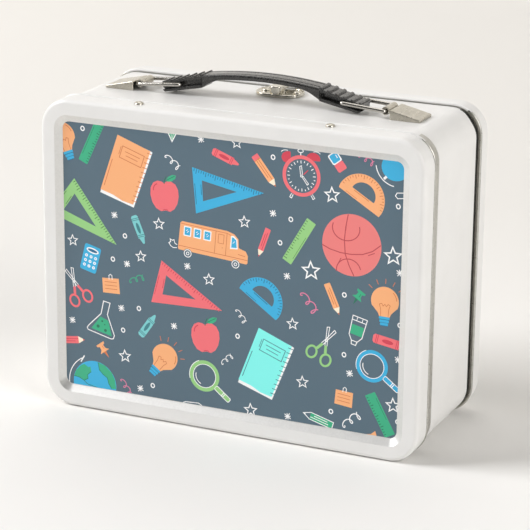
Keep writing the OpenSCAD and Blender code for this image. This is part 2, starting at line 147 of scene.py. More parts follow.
middle = (0, 0, 0.08)
soft_light("left_softbox", (-3.4, -1.45, 2.55), middle, (2.1, 2.1), 204, (0.985, 0.985, 1))
soft_light("low_warm_softbox", (-2.2, 0.2, 1.0), middle, (1.3, 1.3), 6, (1, 0.84, 0.6))
soft_light("right_softbox", (2.2, -0.9, 1.2), middle, (1.6, 1.6), 47, (1, 0.98, 0.96))
soft_light("rear_softbox", (-0.5, 0.8, 2.2), middle, (1.0, 1.0), 5, (1, 0.98, 0.95))
ceiling = soft_light("ceiling_card", (0.2, 0.2, 2.6), middle, (3.2, 3.2), 24, (1, 0.985, 0.95))
ceiling.visible_diffuse = False
world = bpy.data.worlds.new("room")
world.use_nodes = True
world.node_tree.nodes["Background"].inputs["Color"].default_value = (1.0, 0.985, 0.955, 1)
world.node_tree.nodes["Background"].inputs["Strength"].default_value = 0.03
bpy.context.scene.world = world
bpy.context.scene.view_settings.view_transform = "Standard"


# ---- Front cover and door ------------------------------------------------------------
# Two shallow pans stamped from tin, white outside and bare inside. Each has a flat land,
# a softly rounded edge and a wall, and a hole for the knuckles is cut where the hinges sit.
MM = 0.001
half_w, half_h, mid_z = 0.108, 0.08525, 0.08515
corner_r = 0.0165
wall_inset, groove_inset = 0.0004, 0.0015
front_y, back_y = -0.0472, 0.0472
sheet = 0.0006
front_wall_end, door_wall_end = -0.0324, 0.0354
hinge_x, hinge_half_l = 0.055, 0.015


def round_stations(cuts=()):
    """Places round the box's outline: corner centre, outward direction. cuts are x
    values on the bottom run that must have a place of their own."""
    cx, cz = half_w - corner_r, half_h - corner_r
    steps, run_step = 14, 0.012
    places = []

    def run(a, b, direction, extra=()):
        length = (Vector(b) - Vector(a)).length
        count = max(2, round(length / run_step))
        marks = sorted({round(i / count, 6) for i in range(count + 1)} | set(extra))
        for t in marks:
            places.append((a[0] + (b[0] - a[0]) * t, a[1] + (b[1] - a[1]) * t, *direction))

    def corner(centre, start):
        for i in range(1, steps):
            turn = math.radians(start + 90 * i / steps)
            places.append((*centre, math.cos(turn), math.sin(turn)))

    extra = [(x + cx) / (2 * cx) for x in cuts]
    run((-cx, -cz), (cx, -cz), (0, -1), extra)
    corner((cx, -cz), -90)
    run((cx, -cz), (cx, cz), (1, 0))
    corner((cx, cz), 0)
    run((cx, cz), (-cx, cz), (0, 1))
    corner((-cx, cz), 90)
    run((-cx, cz), (-cx, -cz), (-1, 0))
    corner((-cx, -cz), 180)
    return places


def on_outline(place, inset, y):
    """The point of the outline at a place, this far in from the beads' outline."""
    x, z, dx, dz = place
    reach = corner_r - inset
    return Vector((x + dx * reach, y, max(0.0, mid_z + z + dz * reach)))


def skin(rows, width, ring=False, loop=False):
    """Faces between rows of points, each width long. ring closes every row, and loop
    joins the last row to the first."""
    return [(i * width + j, i * width + (j + 1) % width,
             (i + 1) % rows * width + (j + 1) % width, (i + 1) % rows * width + j)
            for i in range(rows if loop else rows - 1)
            for j in range(width if ring else width - 1)]


def press_round(name, places, section, materials, close_middle=False):
    """Presses a sheet round the box. section lists (inset, y); close_middle adds the
    flat floor inside the first line of the section."""
    points = [on_outline(place, inset, y) for place in places for inset, y in section]
    faces = skin(len(places), len(section), loop=True)
    if close_middle:
        faces.append(tuple(i * len(section) for i in range(len(places))))
    return add_mesh(name, points, faces, materials)


def reshape(piece, change):
    """Makes a change to the faces or edges of the piece's mesh."""
    shape = bmesh.new()
    shape.from_mesh(piece.data)
    change(shape)
    shape.to_mesh(piece.data)
    shape.free()
    return piece


def same_way(piece, outward):
    """Turns every face the way the test says is outward."""
    def turn_faces(shape):
        for face in shape.faces:
            if face.normal.dot(outward(face.calc_center_median())) < 0:
                face.normal_flip()
    reshape(piece, turn_faces)


def face_out(piece):
    """Turns the faces of a closed shape outwards."""
    return reshape(piece, lambda shape: bmesh.ops.recalc_face_normals(shape, faces=shape.faces))


def thicken(piece, thickness, inner_slot=0, rim_slot=0):
    """Gives the sheet its thickness, inwards from the painted side."""
    solid = piece.modifiers.new("sheet", "SOLIDIFY")
    solid.thickness = thickness
    solid.offset = -1
    solid.use_even_offset = True
    solid.material_offset = inner_slot
    solid.material_offset_rim = rim_slot
    return solid


def true_flats(piece):
    """Shades flat sheet flat, and keeps the rounding to its edges."""
    weighted = piece.modifiers.new("true_flats", "WEIGHTED_NORMAL")
    weighted.keep_sharp = True
    weighted.weight = 100


def soften(piece, width, segments=2, angle=30):
    """Breaks the sharp edges as stamping and deburring leave them."""
    bevel = piece.modifiers.new("broken_edges", "BEVEL")
    bevel.width = width
    bevel.segments = segments
    bevel.limit_method = "ANGLE"
    bevel.angle_limit = math.radians(angle)
    bevel.harden_normals = True
    return bevel


def fix(piece):
    """Keeps the result of the modifiers as the piece's own mesh."""
    graph = bpy.context.evaluated_depsgraph_get()
    finished = bpy.data.meshes.new_from_object(piece.evaluated_get(graph))
    piece.modifiers.clear()
    piece.data = finished
    return piece


def grain(nodes, links, scale, detail=4, stretch=(1, 1, 1)):
    """A noise pattern in the piece's own coordinates, in repeats per metre."""
    place = nodes.new("ShaderNodeTexCoord")
    mapping = nodes.new("ShaderNodeMapping")
    mapping.inputs["Scale"].default_value = stretch
    pattern = nodes.new("ShaderNodeTexNoise")
    pattern.inputs["Scale"].default_value = scale
    pattern.inputs["Detail"].default_value = detail
    links.new(place.outputs["Object"], mapping.inputs["Vector"])
    links.new(mapping.outputs["Vector"], pattern.inputs["Vector"])
    return pattern.outputs["Fac"]


def relief(nodes, links, shader, source, height, strength):
    """Gives the surface a fine relief, height in metres."""
    bump = nodes.new("ShaderNodeBump")
    bump.inputs["Distance"].default_value = height
    bump.inputs["Strength"].default_value = strength
    links.new(source, bump.inputs["Height"])
    links.new(bump.outputs["Normal"], shader.inputs["Normal"])


def make_finish(name, tones, gloss, colour_grain, gloss_grain=None, relief_grain=None, **values):
    """A finish of two close tones with an uneven roughness. A grain is (scale, detail,
    stretch); the relief's is (scale, height, strength)."""
    material, nodes, links, shader = new_material(name)
    pattern = grain(nodes, links, *colour_grain)
    links.new(two_tones(nodes, links, pattern, *tones), shader.inputs["Base Color"])
    if gloss_grain:
        pattern = grain(nodes, links, *gloss_grain)
    links.new(spread(nodes, links, pattern, *gloss), shader.inputs["Roughness"])
    if relief_grain:
        scale, height, strength = relief_grain
        relief(nodes, links, shader, grain(nodes, links, scale, 2), height, strength)
    set_sockets(shader, **values)
    return material


white = make_finish("white_powder_coat", ((0.775, 0.77, 0.755), (0.80, 0.795, 0.78)),
                    (0.34, 0.46), (55, 3), (900, 2), (1500, 0.00002, 0.35),
                    Coat_Weight=0.25, Coat_Roughness=0.22, IOR=1.5)
tin = make_finish("bare_tinplate", ((0.50, 0.49, 0.455), (0.58, 0.57, 0.53)), (0.26, 0.40),
                  (700, 5, (0.05, 1, 1)), Metallic=1.0)


def edge_arc(radius, inset, depth_sign, y_land, steps=7):
    """The rounded edge between a cover's land and its wall, as (inset, y)."""
    line = []
    for i in range(steps + 1):
        turn = math.radians(90 * i / steps)
        line.append((inset + radius - radius * math.sin(turn),
                     y_land + depth_sign * (radius - radius * math.cos(turn))))
    return line


def cover_line(y_land, depth_sign, wall_end):
    """The stamped line of a cover: floor, slope, lip, land, rounded edge and wall."""
    def at(inset, depth):
        return inset, y_land + depth_sign * depth
    line = [at(0.0150, 0.00305), at(0.0124, 0.00305), at(0.0121, 0.00298),
            at(0.0086, 0.00085), at(0.00822, 0.00052), at(0.00815, 0.0003),
            at(0.00820, 0.0001), at(0.00835, 0.00003), at(0.00862, 0.0)]
    line += edge_arc(0.0024, wall_inset, depth_sign, y_land)
    groove = wall_end - depth_sign * 0.0018
    line += [(wall_inset, y_land + depth_sign * 0.0045),
             (wall_inset, groove), (wall_inset + 0.0001, groove + depth_sign * 0.0001),
             (groove_inset, groove + depth_sign * 0.0002), (groove_inset, wall_end)]
    return line


def cover_outward(y_land):
    def outward(centre):
        towards = Vector((centre.x, 0, centre.z - mid_z))
        if abs(centre.y - y_land) > 0.0042:
            return towards
        return Vector((0, 1 if y_land > 0 else -1, 0)) + towards.normalized() * 0.05
    return outward


front_places = round_stations()
front_cover = press_round("front_cover_pan", front_places,
                          cover_line(front_y, 1, front_wall_end), [white, tin],
                          close_middle=True)
same_way(front_cover, cover_outward(front_y))
thicken(front_cover, sheet, 1, 1)
true_flats(front_cover)
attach(front_cover, "root")
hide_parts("front_cover")

hinge_cuts = [s * hinge_x + e * hinge_half_l for s in (-1, 1) for e in (-1, 1)]
door_places = round_stations(hinge_cuts)
door_cover = press_round("door_pan", door_places,
                         cover_line(back_y, -1, door_wall_end), [white, tin], close_middle=True)
cut_end_y, bottom_top_z = 0.0367, 0.004
for vertex in door_cover.data.vertices:
    p = vertex.co
    beside = abs(abs(p.x) - hinge_x) < hinge_half_l + 1e-5
    if p.z < bottom_top_z and beside and p.y < cut_end_y:
        p.y = cut_end_y
same_way(door_cover, cover_outward(back_y))
thicken(door_cover, sheet, 1, 1)
true_flats(door_cover)
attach(door_cover, "door")
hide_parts("back_cover")


# ---- Curled beads --------------------------------------------------------------------
# The open edge of each cover is rolled over a wire into a bead of bare tin. Along the top
# it is coloured white, a painted highlight. The door's bead is cut away where the knuckles turn.
bead_r, tin_highlight_h = 0.0008, 0.0034


def tube(name, path, radius, materials, closed=False, sides=12, floor_z=None,
         round_ends=False):
    """A round bar along a path. Tapered last rings give round ends."""
    count = len(path)
    rings = []
    forward = [((path[(i + 1) % count] if closed or i < count - 1 else path[i])
                - (path[i - 1] if closed or i > 0 else path[i])).normalized()
               for i in range(count)]
    side = forward[0].orthogonal().normalized()
    for i in range(count):
        side = (side - forward[i] * side.dot(forward[i])).normalized()
        rings.append((path[i], side.copy(), forward[i].cross(side), radius))
    if round_ends and not closed:
        first, last = rings[0], rings[-1]
        for depth, share in ((0.45, 0.9), (0.8, 0.6), (0.97, 0.25)):
            rings.insert(0, (first[0] - forward[0] * radius * depth, first[1], first[2],
                             radius * share))
            rings.append((last[0] + forward[-1] * radius * depth, last[1], last[2],
                          radius * share))
    points = []
    for centre, a, b, r in rings:
        for k in range(sides):
            turn = 2 * math.pi * k / sides
            p = centre + a * (r * math.cos(turn)) + b * (r * math.sin(turn))
            if floor_z is not None:
                p.z = max(floor_z, p.z)
            points.append(p)
    faces = skin(len(rings), sides, ring=True, loop=closed)
    if not closed:
        faces.append(tuple(reversed(range(sides))))
        faces.append(tuple((len(rings) - 1) * sides + k for k in range(sides)))
    return face_out(add_mesh(name, points, faces, materials))


def bead_path(y, start=None, end=None):
    """The bead's centre line round the front, or part of the door's by place number."""
    places = front_places
    if start is not None:
        places = [door_places[i % len(door_places)] for i in range(start, end + 1)]
    return [on_outline(place, bead_r, y) for place in places]


front_bead_y, door_bead_y = -0.0326, 0.0356
front_bead = tube("front_bead", bead_path(front_bead_y), bead_r, [tin], closed=True, floor_z=0.0)
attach(front_bead, "root")

on_bottom = [i for i, place in enumerate(door_places) if place[3] == -1]


def bottom_place(x):
    return min(on_bottom, key=lambda i: abs(door_places[i][0] - x))


long_bead = tube("door_bead_round", bead_path(
    door_bead_y, bottom_place(hinge_x + hinge_half_l),
    len(door_places) + bottom_place(-hinge_x - hinge_half_l)), bead_r, [tin], floor_z=0.0)
short_bead = tube("door_bead_between_hinges", bead_path(
    door_bead_y, bottom_place(-hinge_x + hinge_half_l), bottom_place(hinge_x - hinge_half_l)),
    bead_r, [tin], floor_z=0.0)
# Along the top the bare tin bead is coloured white: a painted highlight.
for bead in (front_bead, long_bead):
    bead.data.materials.append(white)
    for polygon in bead.data.polygons:
        if polygon.center.z > mid_z + half_h - tin_highlight_h:
            polygon.material_index = 1
for piece in (long_bead, short_bead):
    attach(piece, "door")


# ---- Body band -----------------------------------------------------------------------
# One strip of tin bent round the box and joined underneath, white outside and bare
# inside. Bare tin shows beside the front bead and on the neck that the door closes
# over; along the top both strips are coloured white, a painted highlight. Its rear edge
# is coloured black at the sides and round the corners, a painted shade of the gap there.
body_inset, neck_inset = 0.00165, 0.00235
body_start_y, neck_end_y = -0.0414, 0.0401
window_y = (0.0323, 0.0361)

# Black standing for shade: painted shade in the gap at the door's seam and inside the bracket
# wedges.
shade_black = make_finish("painted_shade_black",
                            ((0.004, 0.004, 0.0035), (0.008, 0.0075, 0.0065)), (0.5, 0.65),
                            (300,), (1200,), Specular_IOR_Level=0.15)

strip_inset, paint_start_y = 0.00178, -0.0241
body_line = [(strip_inset, body_start_y), (strip_inset, -0.0340), (strip_inset, paint_start_y),
             (body_inset, paint_start_y + 0.0002)]
body_line += [(body_inset, y * MM) for y in (-15, 0, 15, 26)]
rim_column = len(body_line)
body_line += [(body_inset, 0.0320), (body_inset, window_y[0]), (body_inset, 0.0331),
              (0.00172, 0.0335), (0.00200, 0.03365), (0.00228, 0.0338), (neck_inset, 0.0342),
              (neck_inset, window_y[1]), (neck_inset, neck_end_y)]
body = press_round("body_band_sheet", door_places, body_line,
                  [white, tin, tin, shade_black, tin])
same_way(body, lambda centre: Vector((centre.x, 0, centre.z - mid_z)))
width = len(body_line)
rim_ends = 0.97
# The painted shade on the rear edge reaches 2.4 mm forward on the sides and further round the
# corners.
for i, (x, z, dx, dz) in enumerate(door_places):
    share = min(1, abs(dz) / rim_ends)
    reach = 2.4 * math.sqrt(1 - share ** 2) + 1.4 * math.sin(math.pi * share ** 1.5) ** 2
    body.data.vertices[i * width + rim_column].co.y = min(0.0320, 0.0332 - reach * MM)
# Top strips white as a painted highlight, side strips bare tin, rear edge on the sides black as
# painted shade.
for polygon in body.data.polygons:
    places = [door_places[v // width] for v in polygon.vertices]
    columns = [v % width for v in polygon.vertices]
    on_top = max(place[3] for place in places) > rim_ends
    if max(columns) <= 2 or min(columns) >= rim_column + 2:
        polygon.material_index = 0 if on_top else 1
    elif min(columns) >= rim_column and max(abs(place[3]) for place in places) < rim_ends:
        polygon.material_index = 3


def over_knuckles(face):
    c = face.calc_center_median()
    return (c.z < bottom_top_z and abs(abs(c.x) - hinge_x) < hinge_half_l
            and window_y[0] < c.y < window_y[1])


reshape(body, lambda shape: bmesh.ops.delete(
    shape, geom=[face for face in shape.faces if over_knuckles(face)], context="FACES"))
thicken(body, sheet, 1, 1)
true_flats(body)
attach(body, "root")
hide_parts("body_band")


# ---- Printed trays -------------------------------------------------------------------
# A thin aluminium tray is glued into each cover. Its sloping rim is bare satin metal,
# and its flat floor carries the print under a thin clear coat.
satin = make_finish("satin_aluminium", ((0.75, 0.745, 0.725), (0.79, 0.785, 0.765)),
                    (0.38, 0.44), (900, 5), Metallic=0.75, Specular_IOR_Level=0.4)
tray_depth = 0.0024


def tray_line(y_land, depth_sign):
    def at(inset, depth):
        return inset, y_land + depth_sign * depth
    return [at(0.0150, tray_depth), at(0.01262, tray_depth), at(0.01235, 0.00236),
            at(0.01212, 0.00228), at(0.00862, 0.00022), at(0.00840, 0.00010), at(0.00826, 0.00012),
            at(0.00824, 0.0003)]


for label, y_land, sign, body_name, node in (("front", front_y, 1, "root", "front_panel"),
                                             ("back", back_y, -1, "door", "back_panel")):
    tray = press_round(label + "_tray", front_places, tray_line(y_land, sign), [satin],
                       close_middle=True)
    same_way(tray, lambda centre: Vector((0, -sign, 0)))
    thicken(tray, 0.0005)
    true_flats(tray)
    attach(tray, body_name)
    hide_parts(node)
    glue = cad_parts[node + "_adhesive"]
    glue.data.materials.clear()
    glue.data.materials.append(make_finish(
        label + "_adhesive_film", ((0.62, 0.60, 0.54), (0.70, 0.68, 0.62)), (0.4, 0.6),
        (400,), (900,)))


# ---- The print -----------------------------------------------------------------------
# A pattern of school things in flat inks on slate blue, printed on the tray's floor and
# sealed with a satin clear coat. All of it is one flat sheet, cut into its ink areas.
def srgb(red, green, blue):
    """A colour given in screen values, 0 to 255, as the shader wants it."""
    def linear(value):
        value /= 255
        return value / 12.92 if value <= 0.04045 else ((value + 0.055) / 1.055) ** 2.4
    return linear(red), linear(green), linear(blue)


INK_COLOURS = {
    "slate": (80, 104, 119), "chalk": (250, 250, 250), "orange": (250, 178, 122),
    "rust": (216, 120, 66), "coral": (243, 110, 118), "crimson": (214, 58, 80),
    "ball": (238, 126, 124), "ball_line": (190, 62, 72), "sky": (46, 176, 224),
    "deep_blue": (12, 104, 146), "aqua": (130, 248, 240), "teal": (122, 205, 208),
    "deep_teal": (54, 128, 136), "green": (46, 176, 130), "deep_green": (18, 112, 84),
    "leaf": (150, 208, 130), "deep_leaf": (72, 128, 66), "pink": (226, 124, 160),
    "cream": (255, 240, 214),
}
inks = {}
for ink_name, screen_colour in INK_COLOURS.items():
    ink, nodes, links, shader = new_material("ink_" + ink_name)
    set_sockets(shader, Base_Color=(*srgb(*screen_colour), 1), Coat_Weight=0.35,
                Coat_Roughness=0.16, IOR=1.48)
    links.new(spread(nodes, links, grain(nodes, links, 700, 3), 0.30, 0.44),
              shader.inputs["Roughness"])
    relief(nodes, links, shader, grain(nodes, links, 1600, 2), 0.00001, 0.25)
    inks[ink_name] = ink

here = {"x": 0, "y": 0, "turn": 0, "size": 1}
drawn = []


def icon(draw, x, y, turn=0, size=1, **choices):
    """Draws one picture with its own origin at x, y, in millimetres from the middle."""
    here.update(x=x, y=y, turn=math.radians(turn), size=size)
    draw(**choices)


def fill(ink_name, outline):
    """An area of ink. Later areas cover the ones before."""
    c, s = math.cos(here["turn"]) * here["size"], math.sin(here["turn"]) * here["size"]
    points = [(here["x"] + px * c - py * s, here["y"] + px * s + py * c) for px, py in outline]
    area = sum(a[0] * b[1] - b[0] * a[1] for a, b in zip(points, points[1:] + points[:1]))
    drawn.append((ink_name, points if area > 0 else points[::-1]))


def line(ink_name, path, width=0.55, closed=False):
    """A drawn line with mitred corners."""
    path = [Vector(p) for p in path]
    count = len(path)
    left, right = [], []
    for i in range(count):
        before = path[i - 1] if closed or i else path[i] * 2 - path[1]
        after = path[(i + 1) % count] if closed or i < count - 1 else path[i] * 2 - path[i - 1]
        way_in, way_out = (path[i] - before).normalized(), (after - path[i]).normalized()
        across = Vector((-way_in.y - way_out.y, way_in.x + way_out.x))
        across = across.normalized() if across.length > 1e-6 else Vector((-way_in.y, way_in.x))
        reach = width / 2 / max(0.45, across.dot(Vector((-way_in.y, way_in.x))))
        left.append(path[i] + across * reach)
        right.append(path[i] - across * reach)
    for i in range(count if closed else count - 1):
        j = (i + 1) % count
        fill(ink_name, [left[i], left[j], right[j], right[i]])


def lines(ink_name, width, *paths):
    """Several open lines of one ink and width."""
    for path in paths:
        line(ink_name, path, width)


def oval(x, y, rx, ry=None, start=0, end=360, count=28):
    """Points of an oval, or of part of it."""
    ry = rx if ry is None else ry
    last = count if abs(end - start) < 360 else count - 1
    return [(x + rx * math.cos(math.radians(start + (end - start) * i / count)),
             y + ry * math.sin(math.radians(start + (end - start) * i / count)))
            for i in range(last + 1)]


def block(x0, y0, x1, y1, r=0.0):
    """A rectangle, with round corners if r is given."""
    if not r:
        return [(x0, y0), (x1, y0), (x1, y1), (x0, y1)]
    return (oval(x1 - r, y0 + r, r, start=-90, end=0, count=4)
            + oval(x1 - r, y1 - r, r, start=0, end=90, count=4)
            + oval(x0 + r, y1 - r, r, start=90, end=180, count=4)
            + oval(x0 + r, y0 + r, r, start=180, end=270, count=4))


def ticks(ink_name, a, b, count, length, width=0.4):
    """Short marks inside an edge from a to b, every fourth one longer."""
    a, b = Vector(a), Vector(b)
    along = (b - a).normalized()
    inward = Vector((-along.y, along.x))
    for i in range(1, count):
        p = a + (b - a) * i / count
        line(ink_name, [p + inward * 0.25, p + inward * length * (1.6 if i % 4 == 0 else 1)],
             width)


def ring():
    line("chalk", oval(0, 0, 1.0, 1.15, count=14), 0.62, closed=True)


def sparkle():
    for k in range(4):
        turn = math.radians(12 + 45 * k)
        reach = 2.1 if k % 2 else 1.7
        c, s = math.cos(turn) * reach, math.sin(turn) * reach
        line("chalk", [(-c, -s), (c, s)], 0.5)


def star():
    path = []
    for k in range(10):
        turn = math.radians(90 + 36 * k)
        reach = 1.0 if k % 2 == 0 else 0.44
        path.append((math.cos(turn) * reach, math.sin(turn) * reach))
    line("chalk", path, 0.17, closed=True)


def curl(ink_name="chalk", loops=2, pitch=4.6, r=1.5):
    path = []
    for i in range(loops * 14 + 9):
        t = -1.2 + i * 2 * math.pi / 14
        path.append((pitch * t / (2 * math.pi) - r * math.sin(t) - pitch * loops / 2,
                     -r * math.cos(t) * (0.8 + 0.05 * t)))
    line(ink_name, path, 0.5)


def ruler(ink_name, mark, length, width, side=1):
    x, y = length / 2, width / 2
    fill(ink_name, block(-x, -y, x, y, 0.35))
    a, b = (-x, -y * side), (x, -y * side)
    ticks(mark, a if side > 0 else b, b if side > 0 else a, int(length / 1.5), 1.3)
    line(mark, [(-x * 0.75, y * 0.72 * side), (x * 0.3, y * 0.72 * side)], 0.25)


def notebook(cover, mark):
    fill("chalk", [(-10.2, -17.2), (10.4, -16.6), (11.0, 16.2), (9, 16.4), (-10.2, 16)])
    fill(cover, [(-10.5, -15.6), (-3, -15.2), (3, -16.0), (9.6, -15.2), (9.7, 16.3),
                 (-10.5, 16.6)])
    for i in range(11):
        y = 14.6 - i * 2.8
        line(mark, [(8.2, y), (10.9, y + 0.35)], 0.42)
    line(mark, block(-5.8, 5.6, 7.4, 12.2), 0.42, closed=True)
    line(mark, [(-6.6, 7.0), (-6.6, 11.6)], 0.35)
    lines(mark, 0.38, [(-3.6, 9.9), (5.4, 9.9)], [(-2.6, 7.9), (4.6, 7.9)])
    line(mark, [(-9.2, -12.6), (-9.2, 3.0)], 0.4)


def crayon(wax, mark, length=16.0, width=4.2):
    x, y = length / 2, width / 2
    fill(wax, [(-x + 0.9, -y), (x - 3.6, -y), (x - 3.6, y), (-x + 0.9, y),
               (-x, y * 0.6), (-x, -y * 0.6)])
    fill(wax, [(x - 3.6, -y * 0.75), (x - 0.5, -y * 0.28), (x, 0), (x - 0.5, y * 0.28),
               (x - 3.6, y * 0.75)])
    for place in (-x + 1.6, -x + 2.5, x - 5.2, x - 4.3):
        line(mark, [(place, -y), (place + 0.25, y)], 0.34)
    fill(mark, oval(-0.9, 0, 3.1, y * 0.45, count=16))


def pencil(paint, mark, length, width, rubber=True, outlined=False):
    x, y = length / 2, width / 2
    fill(paint, block(-x, -y, x - 4, y, 0.4))
    fill("cream" if not outlined else "slate", [(x - 4, -y), (x - 1.1, -y * 0.25),
                                                (x - 1.1, y * 0.25), (x - 4, y)])
    fill(mark if not outlined else "chalk", [(x - 1.2, -y * 0.27), (x, 0), (x - 1.2, y * 0.27)])
    lines(mark, 0.38, [(-x + 2.4, y * 0.3), (x - 4.2, y * 0.3)],
          [(-x + 3.2, -y * 0.35), (x - 6, -y * 0.35)])
    if rubber:
        fill("coral", block(-x, -y, -x + 2.6, y, 0.5))
        line(mark, [(-x + 2.8, -y), (-x + 2.8, y)], 0.35)
    if outlined:
        line("chalk", [(-x, -y), (x - 4, -y), (x, 0), (x - 4, y), (-x, y)], 0.45, closed=True)


def apple():
    fill("coral", [(0, 7.0), (1.6, 7.9), (4.2, 8.0), (6.6, 6.6), (8.0, 3.8), (8.2, 0.2),
                   (7.3, -3.6), (5.4, -6.6), (2.8, -8.2), (0.3, -7.6), (-2.4, -8.2),
                   (-5.2, -6.8), (-7.3, -3.6), (-8.2, 0.4), (-7.8, 4.2), (-6.2, 6.9),
                   (-3.8, 8.0), (-1.6, 7.8)])
    fill("slate", [(-0.9, 8.2), (0, 6.9), (0.9, 8.2)])
    line("deep_green", [(0.1, 6.6), (0.5, 8.6), (1.6, 10.6)], 0.5)
    fill("green", [(1.2, 8.4), (2.6, 10.4), (5.0, 11.6), (7.2, 11.4), (6.6, 9.6), (4.6, 8.2),
                   (2.6, 7.8)])
    line("deep_green", [(1.6, 8.6), (6.4, 11.0)], 0.34)
    line("crimson", oval(-3.4, 3.0, 2.9, 3.4, 100, 185, 6), 0.5)
    line("crimson", oval(0.2, -8.0, 1.6, 0.9, 20, 160, 5), 0.4)


def set_square(ink_name, mark, outer, inner, count):
    fill(ink_name, outer)
    fill("slate", inner)
    ticks(mark, outer[1], outer[0], count, 1.7, 0.38)
    for (a, b), share in (((inner[0], inner[2]), 0.5), ((outer[2], outer[0]), 0.45)):
        a, b = Vector(a), Vector(b)
        middle_of = (outer[0][0] + outer[1][0] + outer[2][0]) / 3
        middle_up = (outer[0][1] + outer[1][1] + outer[2][1]) / 3
        pull = (Vector((middle_of, middle_up)) - (a + b) / 2).normalized() * 0.7
        if (a, b) == (Vector(inner[0]), Vector(inner[2])):
            pull = -pull
        line(mark, [a.lerp(b, 0.2) + pull, a.lerp(b, 0.2 + share) + pull], 0.34)


def protractor(ink_name, mark):
    fill(ink_name, [(-12.6, 0), (12.6, 0)] + oval(0, 2.0, 12.9, 12.9, 0, 180, 30))
    fill("slate", [(-6.6, 4.4), (6.6, 4.4)] + oval(0, 4.4, 6.8, 6.4, 4, 176, 18))
    for k in range(1, 24):
        turn = math.radians(180 * k / 24)
        c, s = math.cos(turn), math.sin(turn)
        inner_r = 10.4 if k % 3 == 0 else 11.3
        line(mark, [(inner_r * c, 2.0 + inner_r * s), (12.5 * c, 2.0 + 12.5 * s)], 0.38)
    line(mark, [(-5.2, 3.7), (4.2, 3.7)], 0.4)
    line(mark, [(-8.6, 0.7), (-1.5, 0.7)], 0.3)


def calculator():
    fill("sky", block(-4.9, -7.4, 4.9, 7.4, 1.1))
    fill("chalk", oval(0.2, 4.6, 3.7, 1.5, count=20))
    fill("deep_blue", oval(0.2, 4.6, 2.9, 0.8, count=20))
    for col in range(3):
        for row in range(3):
            line("chalk", oval(-2.7 + 2.8 * col, 1.0 - 2.7 * row, 0.62, count=8), 0.5,
                 closed=True)


def school_bus():
    fill("orange", [(0.3, 0), (39.0, 0), (39.7, 0.8), (39.6, 4.6), (38.2, 6.8), (34.2, 7.8),
                    (33.6, 12.4), (31.2, 14.6), (27.0, 15.6), (1.2, 15.6), (0.2, 14.6),
                    (-0.2, 0.8)])
    lines("rust", 0.34, [(0.6, 14.3), (27.2, 14.3), (31.4, 13.0)], [(0, 2.2), (39.6, 2.2)],
          [(20.7, 2.2), (20.7, 14.2)], [(27.0, 2.2), (27.0, 14.2)])
    line("rust", block(22.3, 8.2, 25.4, 13.0), 0.32, closed=True)
    line("rust", [(24.6, 6.0), (25.2, 6.0)], 0.4)
    line("rust", [(34.0, 4.4), (38.0, 4.0)], 0.34)
    for x in (4.6, 10.3, 16.0):
        fill("chalk", block(x - 2.2, 8.0, x + 2.2, 13.4, 0.5))
        fill("sky", block(x - 1.6, 8.6, x + 1.6, 12.8, 0.2))
        lines("chalk", 0.3, [(x - 0.7, 10.9), (x + 0.1, 11.7)],
              [(x - 0.3, 9.9), (x + 0.8, 11.0)])
    fill("chalk", [(29.3, 6.4), (33.6, 7.0), (33.0, 12.0), (31.0, 13.6), (29.3, 13.6)])
    fill("sky", [(29.9, 7.2), (33.0, 7.6), (32.4, 11.6), (30.8, 12.8), (29.9, 12.8)])
    line("chalk", [(30.6, 9.6), (31.6, 10.8)], 0.3)
    for x in (5.6, 33.0):
        fill("slate", oval(x, -1.2, 2.5, count=20))
        line("chalk", oval(x, -1.2, 2.0, count=18), 0.42, closed=True)
        line("chalk", oval(x, -1.2, 0.8, count=10), 0.42, closed=True)
    line("chalk", [(-0.8, 0.6), (-2.8, 0.2), (-4.4, 0.9), (-5.6, 2.4), (-4.6, 3.1), (-5.0, 4.6),
                   (-3.6, 4.0), (-2.8, 4.6), (-2.2, 2.9), (-0.8, 2.2)], 0.42)


def alarm_clock():
    for side in (-1, 1):
        fill("crimson", oval(side * 6.9, 9.4, 3.9, 3.2, 25 - side * 45, 245 - side * 45, 14))
        lines("chalk", 0.4, [(side * 5.8, -9.4), (side * 7.0, -11.4), (side * 6.0, -12.0),
                             (side * 5.0, -10.0)],
              oval(side * 8.4, 11.6, 2.6, 1.6, 90 - side * 70, 90 + side * 30, 7))
    line("chalk", [(0, 10.6), (0, 12.2)], 0.5)
    line("chalk", oval(0, 13.2, 1.5, 0.9, count=14), 0.45, closed=True)
    fill("coral", oval(0, 0, 10.6, 10.9, count=44))
    fill("slate", oval(0, 0, 8.7, 9.0, count=40))
    for k in range(24):
        turn = math.radians(15 * k)
        c, s = math.cos(turn), math.sin(turn)
        inner_r = 6.4 if k % 2 == 0 else 7.0
        line("chalk", [(inner_r * c, inner_r * s * 1.03), (7.9 * c, 7.9 * s * 1.03)], 0.42)
    line("chalk", [(-0.5, 0.7), (-0.8, 5.0), (0.2, 5.4), (0.6, 0.7)], 0.38)
    line("chalk", [(0.3, -0.5), (3.0, -4.6), (3.8, -4.0), (0.9, 0)], 0.36)
    line("crimson", [(1.2, 0.8), (3.8, 3.2)], 0.5)
    line("chalk", oval(0, 0, 0.55, count=10), 0.4, closed=True)


def rubber():
    fill("chalk", block(-5.2, -2.9, 0.6, 2.9, 0.9))
    fill("sky", block(-4.6, -2.3, 0.0, 2.3, 0.7))
    fill("coral", block(0.6, -2.7, 5.2, 2.7, 0.8))
    line("chalk", [(-3.4, 1.2), (-1.6, 1.2)], 0.4)


